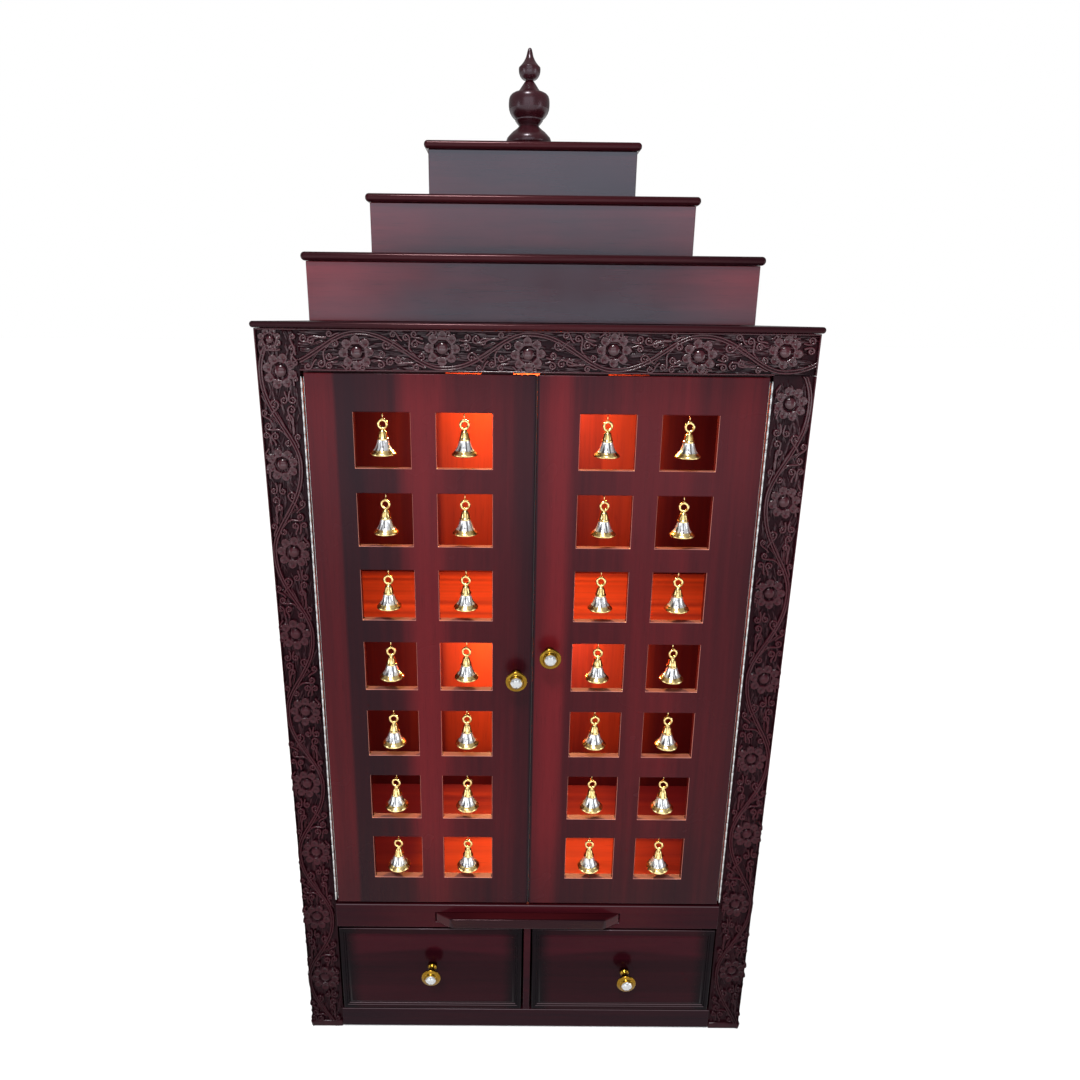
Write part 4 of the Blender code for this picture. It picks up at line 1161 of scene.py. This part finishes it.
# ---------------------------------------------------------------- stepped roof
# Three hollow boxes of falling size stand flush at the back, each under a board with rounded edges.
# They have the glossiest lacquer, so the light in front lies on them as a pale sheen.
def tier_tone(making, x, y, z):
    ends = abs(x + 0.005).eased(0.06, 0.24) * (1 - z.eased(1.02, 1.14) * 0.6)
    second = z.eased(1.045, 1.055) * (1 - z.eased(1.108, 1.118))
    patches = cloudy(making, (5.0, 1.0, 14.0), 3.0, X=x, Z=z) - 0.5
    return 0.06 + 0.20 * second + (0.52 - x * 0.5) * ends * (1 - 0.4 * second) + patches * 0.8


TIER_DARK, TIER_LIGHT = (0.030, 0.0055, 0.0085), (0.150, 0.0150, 0.0190)
TIER_FINISH = stained_wood(
    "roof_lacquer", "X", TIER_DARK, TIER_LIGHT, tier_tone, 0.20, 0.66, (0.68, 0.86, 1.0), 2.0
)
for number in (1, 2, 3):
    dressed(f"tier_{number}", f"roof_tier_{number}", TIER_FINISH, width=0.0008)
    board = f"roof_board_{number}"
    fitted(f"tier_{number}_lid", bullnosed(board, 0.0045), TOP_FINISH, "cabinet", "cabinet_wood", board)


# ---------------------------------------------------------------- finial
# A spire turned in one piece on the lathe, with a foot, waist, ball, neck, bulb and point. It is
# stained dark and stands on the highest board of the roof.

# Each stretch between two crisp edges, from the point down: radii in mm, each at a share of the height.
FINIAL_PROFILE = (
    ((0.0, 1.0), (1.5, 0.998), (2.3, 0.990), (2.9, 0.975), (3.5, 0.955), (4.2, 0.930), (5.0, 0.910), (6.2, 0.890)),
    ((6.2, 0.890), (8.2, 0.862), (10.2, 0.843), (11.9, 0.827), (13.3, 0.816), (13.6, 0.810)),
    ((13.6, 0.810), (13.7, 0.798), (13.6, 0.780), (13.2, 0.760), (12.2, 0.738), (10.8, 0.720), (9.4, 0.708)),
    ((9.4, 0.708), (7.9, 0.700), (5.0, 0.697)),
    (
        (5.0, 0.697), (4.8, 0.688), (6.0, 0.678), (7.6, 0.660), (9.6, 0.636), (11.9, 0.608),
        (14.0, 0.586), (15.6, 0.572),
    ),
    ((15.6, 0.572), (17.0, 0.571), (20.2, 0.565)),
    ((20.2, 0.565), (22.8, 0.553), (24.6, 0.536), (25.6, 0.512), (26.0, 0.480), (26.0, 0.445), (25.5, 0.410)),
    ((25.5, 0.410), (24.2, 0.380), (22.4, 0.354), (20.2, 0.332), (18.0, 0.316)),
    ((18.0, 0.316), (17.6, 0.310), (17.6, 0.302), (17.0, 0.297)),
    ((17.0, 0.297), (15.4, 0.278), (13.6, 0.262), (12.7, 0.256)),
    ((12.7, 0.256), (12.9, 0.247), (14.4, 0.232), (17.2, 0.212), (20.8, 0.190), (23.8, 0.166), (25.6, 0.150)),
    ((25.6, 0.150), (27.6, 0.132), (28.7, 0.108), (29.0, 0.086), (28.6, 0.066), (27.6, 0.056)),
    ((27.6, 0.056), (28.6, 0.050), (29.0, 0.042), (29.0, 0.0)),
    ((29.0, 0.0), (0.0, 0.0)),
)
SPIRE_DARK, SPIRE_LIGHT = (0.0060, 0.0018, 0.0036), (0.0640, 0.0070, 0.0100)
FINIAL_FINISH = stained_wood(
    "finial_lacquer", "Z", SPIRE_DARK, SPIRE_LIGHT, 0.30, 0.26, 0.46, (0.95, 0.86, 0.95), 7.0
)
low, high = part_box("finial")
shape = bmesh.new()
foot = ((low.x + high.x) / 2, (low.y + high.y) / 2, low.z)
for stretch in FINIAL_PROFILE:
    turned(shape, [(radius / 1000, share * (high.z - low.z)) for radius, share in stretch], 72, foot)
fitted("spire", shape, FINIAL_FINISH, "cabinet", "cabinet_wood", "finial")


# ---------------------------------------------------------------- studio
# A plain pale floor in a pale room, two wide soft panels in front, one at each side, and a soft light
# from high in front on the left.
MATT = {"Specular IOR Level": 0.05}
FLOOR_PAINT = grained("floor_paint", 3.0, 2.0, ((0.93, 0.93, 0.93), (0.96, 0.96, 0.96)), (0.9,), MATT)
floor_mesh = from_faces("floor", ((-30, -30, 0), (30, -30, 0), (30, 30, 0), (-30, 30, 0)), [(0, 1, 2, 3)])
floor_mesh.materials.append(FLOOR_PAINT)
set_up("floor", floor_mesh)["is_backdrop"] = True

world = bpy.data.worlds.new("pale_room")
world.use_nodes = True
world.node_tree.nodes.clear()
room = Making(world.node_tree)
strength = room.add("ShaderNodeLightPath", {}, "Is Camera Ray") * 0.65 + 0.35
background = room.add("ShaderNodeBackground", {"Color": (1.0, 1.0, 1.0, 1.0), "Strength": strength})
room.add("ShaderNodeOutputWorld", {"Surface": background}, None)
bpy.context.scene.world = world


def soft_light(name, place, aim, size, power, colour):
    light = bpy.data.lights.new(name, "AREA")
    light.shape, light.energy, light.color = "RECTANGLE", power, colour
    light.size, light.size_y = size
    lamp = set_up(name, light)
    lamp.location = place
    lamp.rotation_euler = (Vector(aim) - Vector(place)).to_track_quat("-Z", "Y").to_euler()


soft_light("front_soft_light", (-0.3, -3.0, 1.95), (-0.3, 0.0, 1.95), (3.2, 1.3), 26.0, (0.90, 0.95, 1.0))
soft_light("low_soft_light", (-0.3, -3.0, 0.48), (-0.3, 0.0, 0.48), (3.2, 0.94), 20.0, (0.84, 0.93, 1.0))
for side in (-1, 1):
    soft_light("side_soft_light", (side * 2.8, -1.3, 0.75), (0.0, -0.1, 0.75), (0.7, 1.5), 14.0, (0.92, 0.96, 1.0))
key = bpy.data.lights.new("high_soft_light", "SUN")
key.energy, key.angle = 3.1, math.radians(12)
set_up("high_soft_light", key).rotation_euler = (math.radians(32), 0.0, math.radians(-14))

# The camera stands 0.8 m before the front, level with the top of the face frame, and looks a little down.
yaw, pitch, roll = math.radians(0.2946), math.radians(16.091), math.radians(0.6419)
upwards = Vector((0.0, 0.0, 1.0))
level = Vector((math.sin(yaw), math.cos(yaw), 0.0))
forward = level * math.cos(pitch) - upwards * math.sin(pitch)
level_right = forward.cross(upwards).normalized()
right = level_right * math.cos(roll) + level_right.cross(forward) * math.sin(roll)
lens = bpy.data.cameras.new("camera")
lens.sensor_width, lens.lens = 36.0, 25.08
lens.shift_x, lens.shift_y = 0.0216, -0.0034
camera = set_up("camera", lens)
facing = Matrix((right, right.cross(forward), -forward)).transposed().to_4x4()
camera.matrix_world = Matrix.Translation((-0.0248, -0.97175, 0.9691)) @ facing
bpy.context.scene.camera = camera
bpy.context.scene.view_settings.view_transform = "Standard"

low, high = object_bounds()
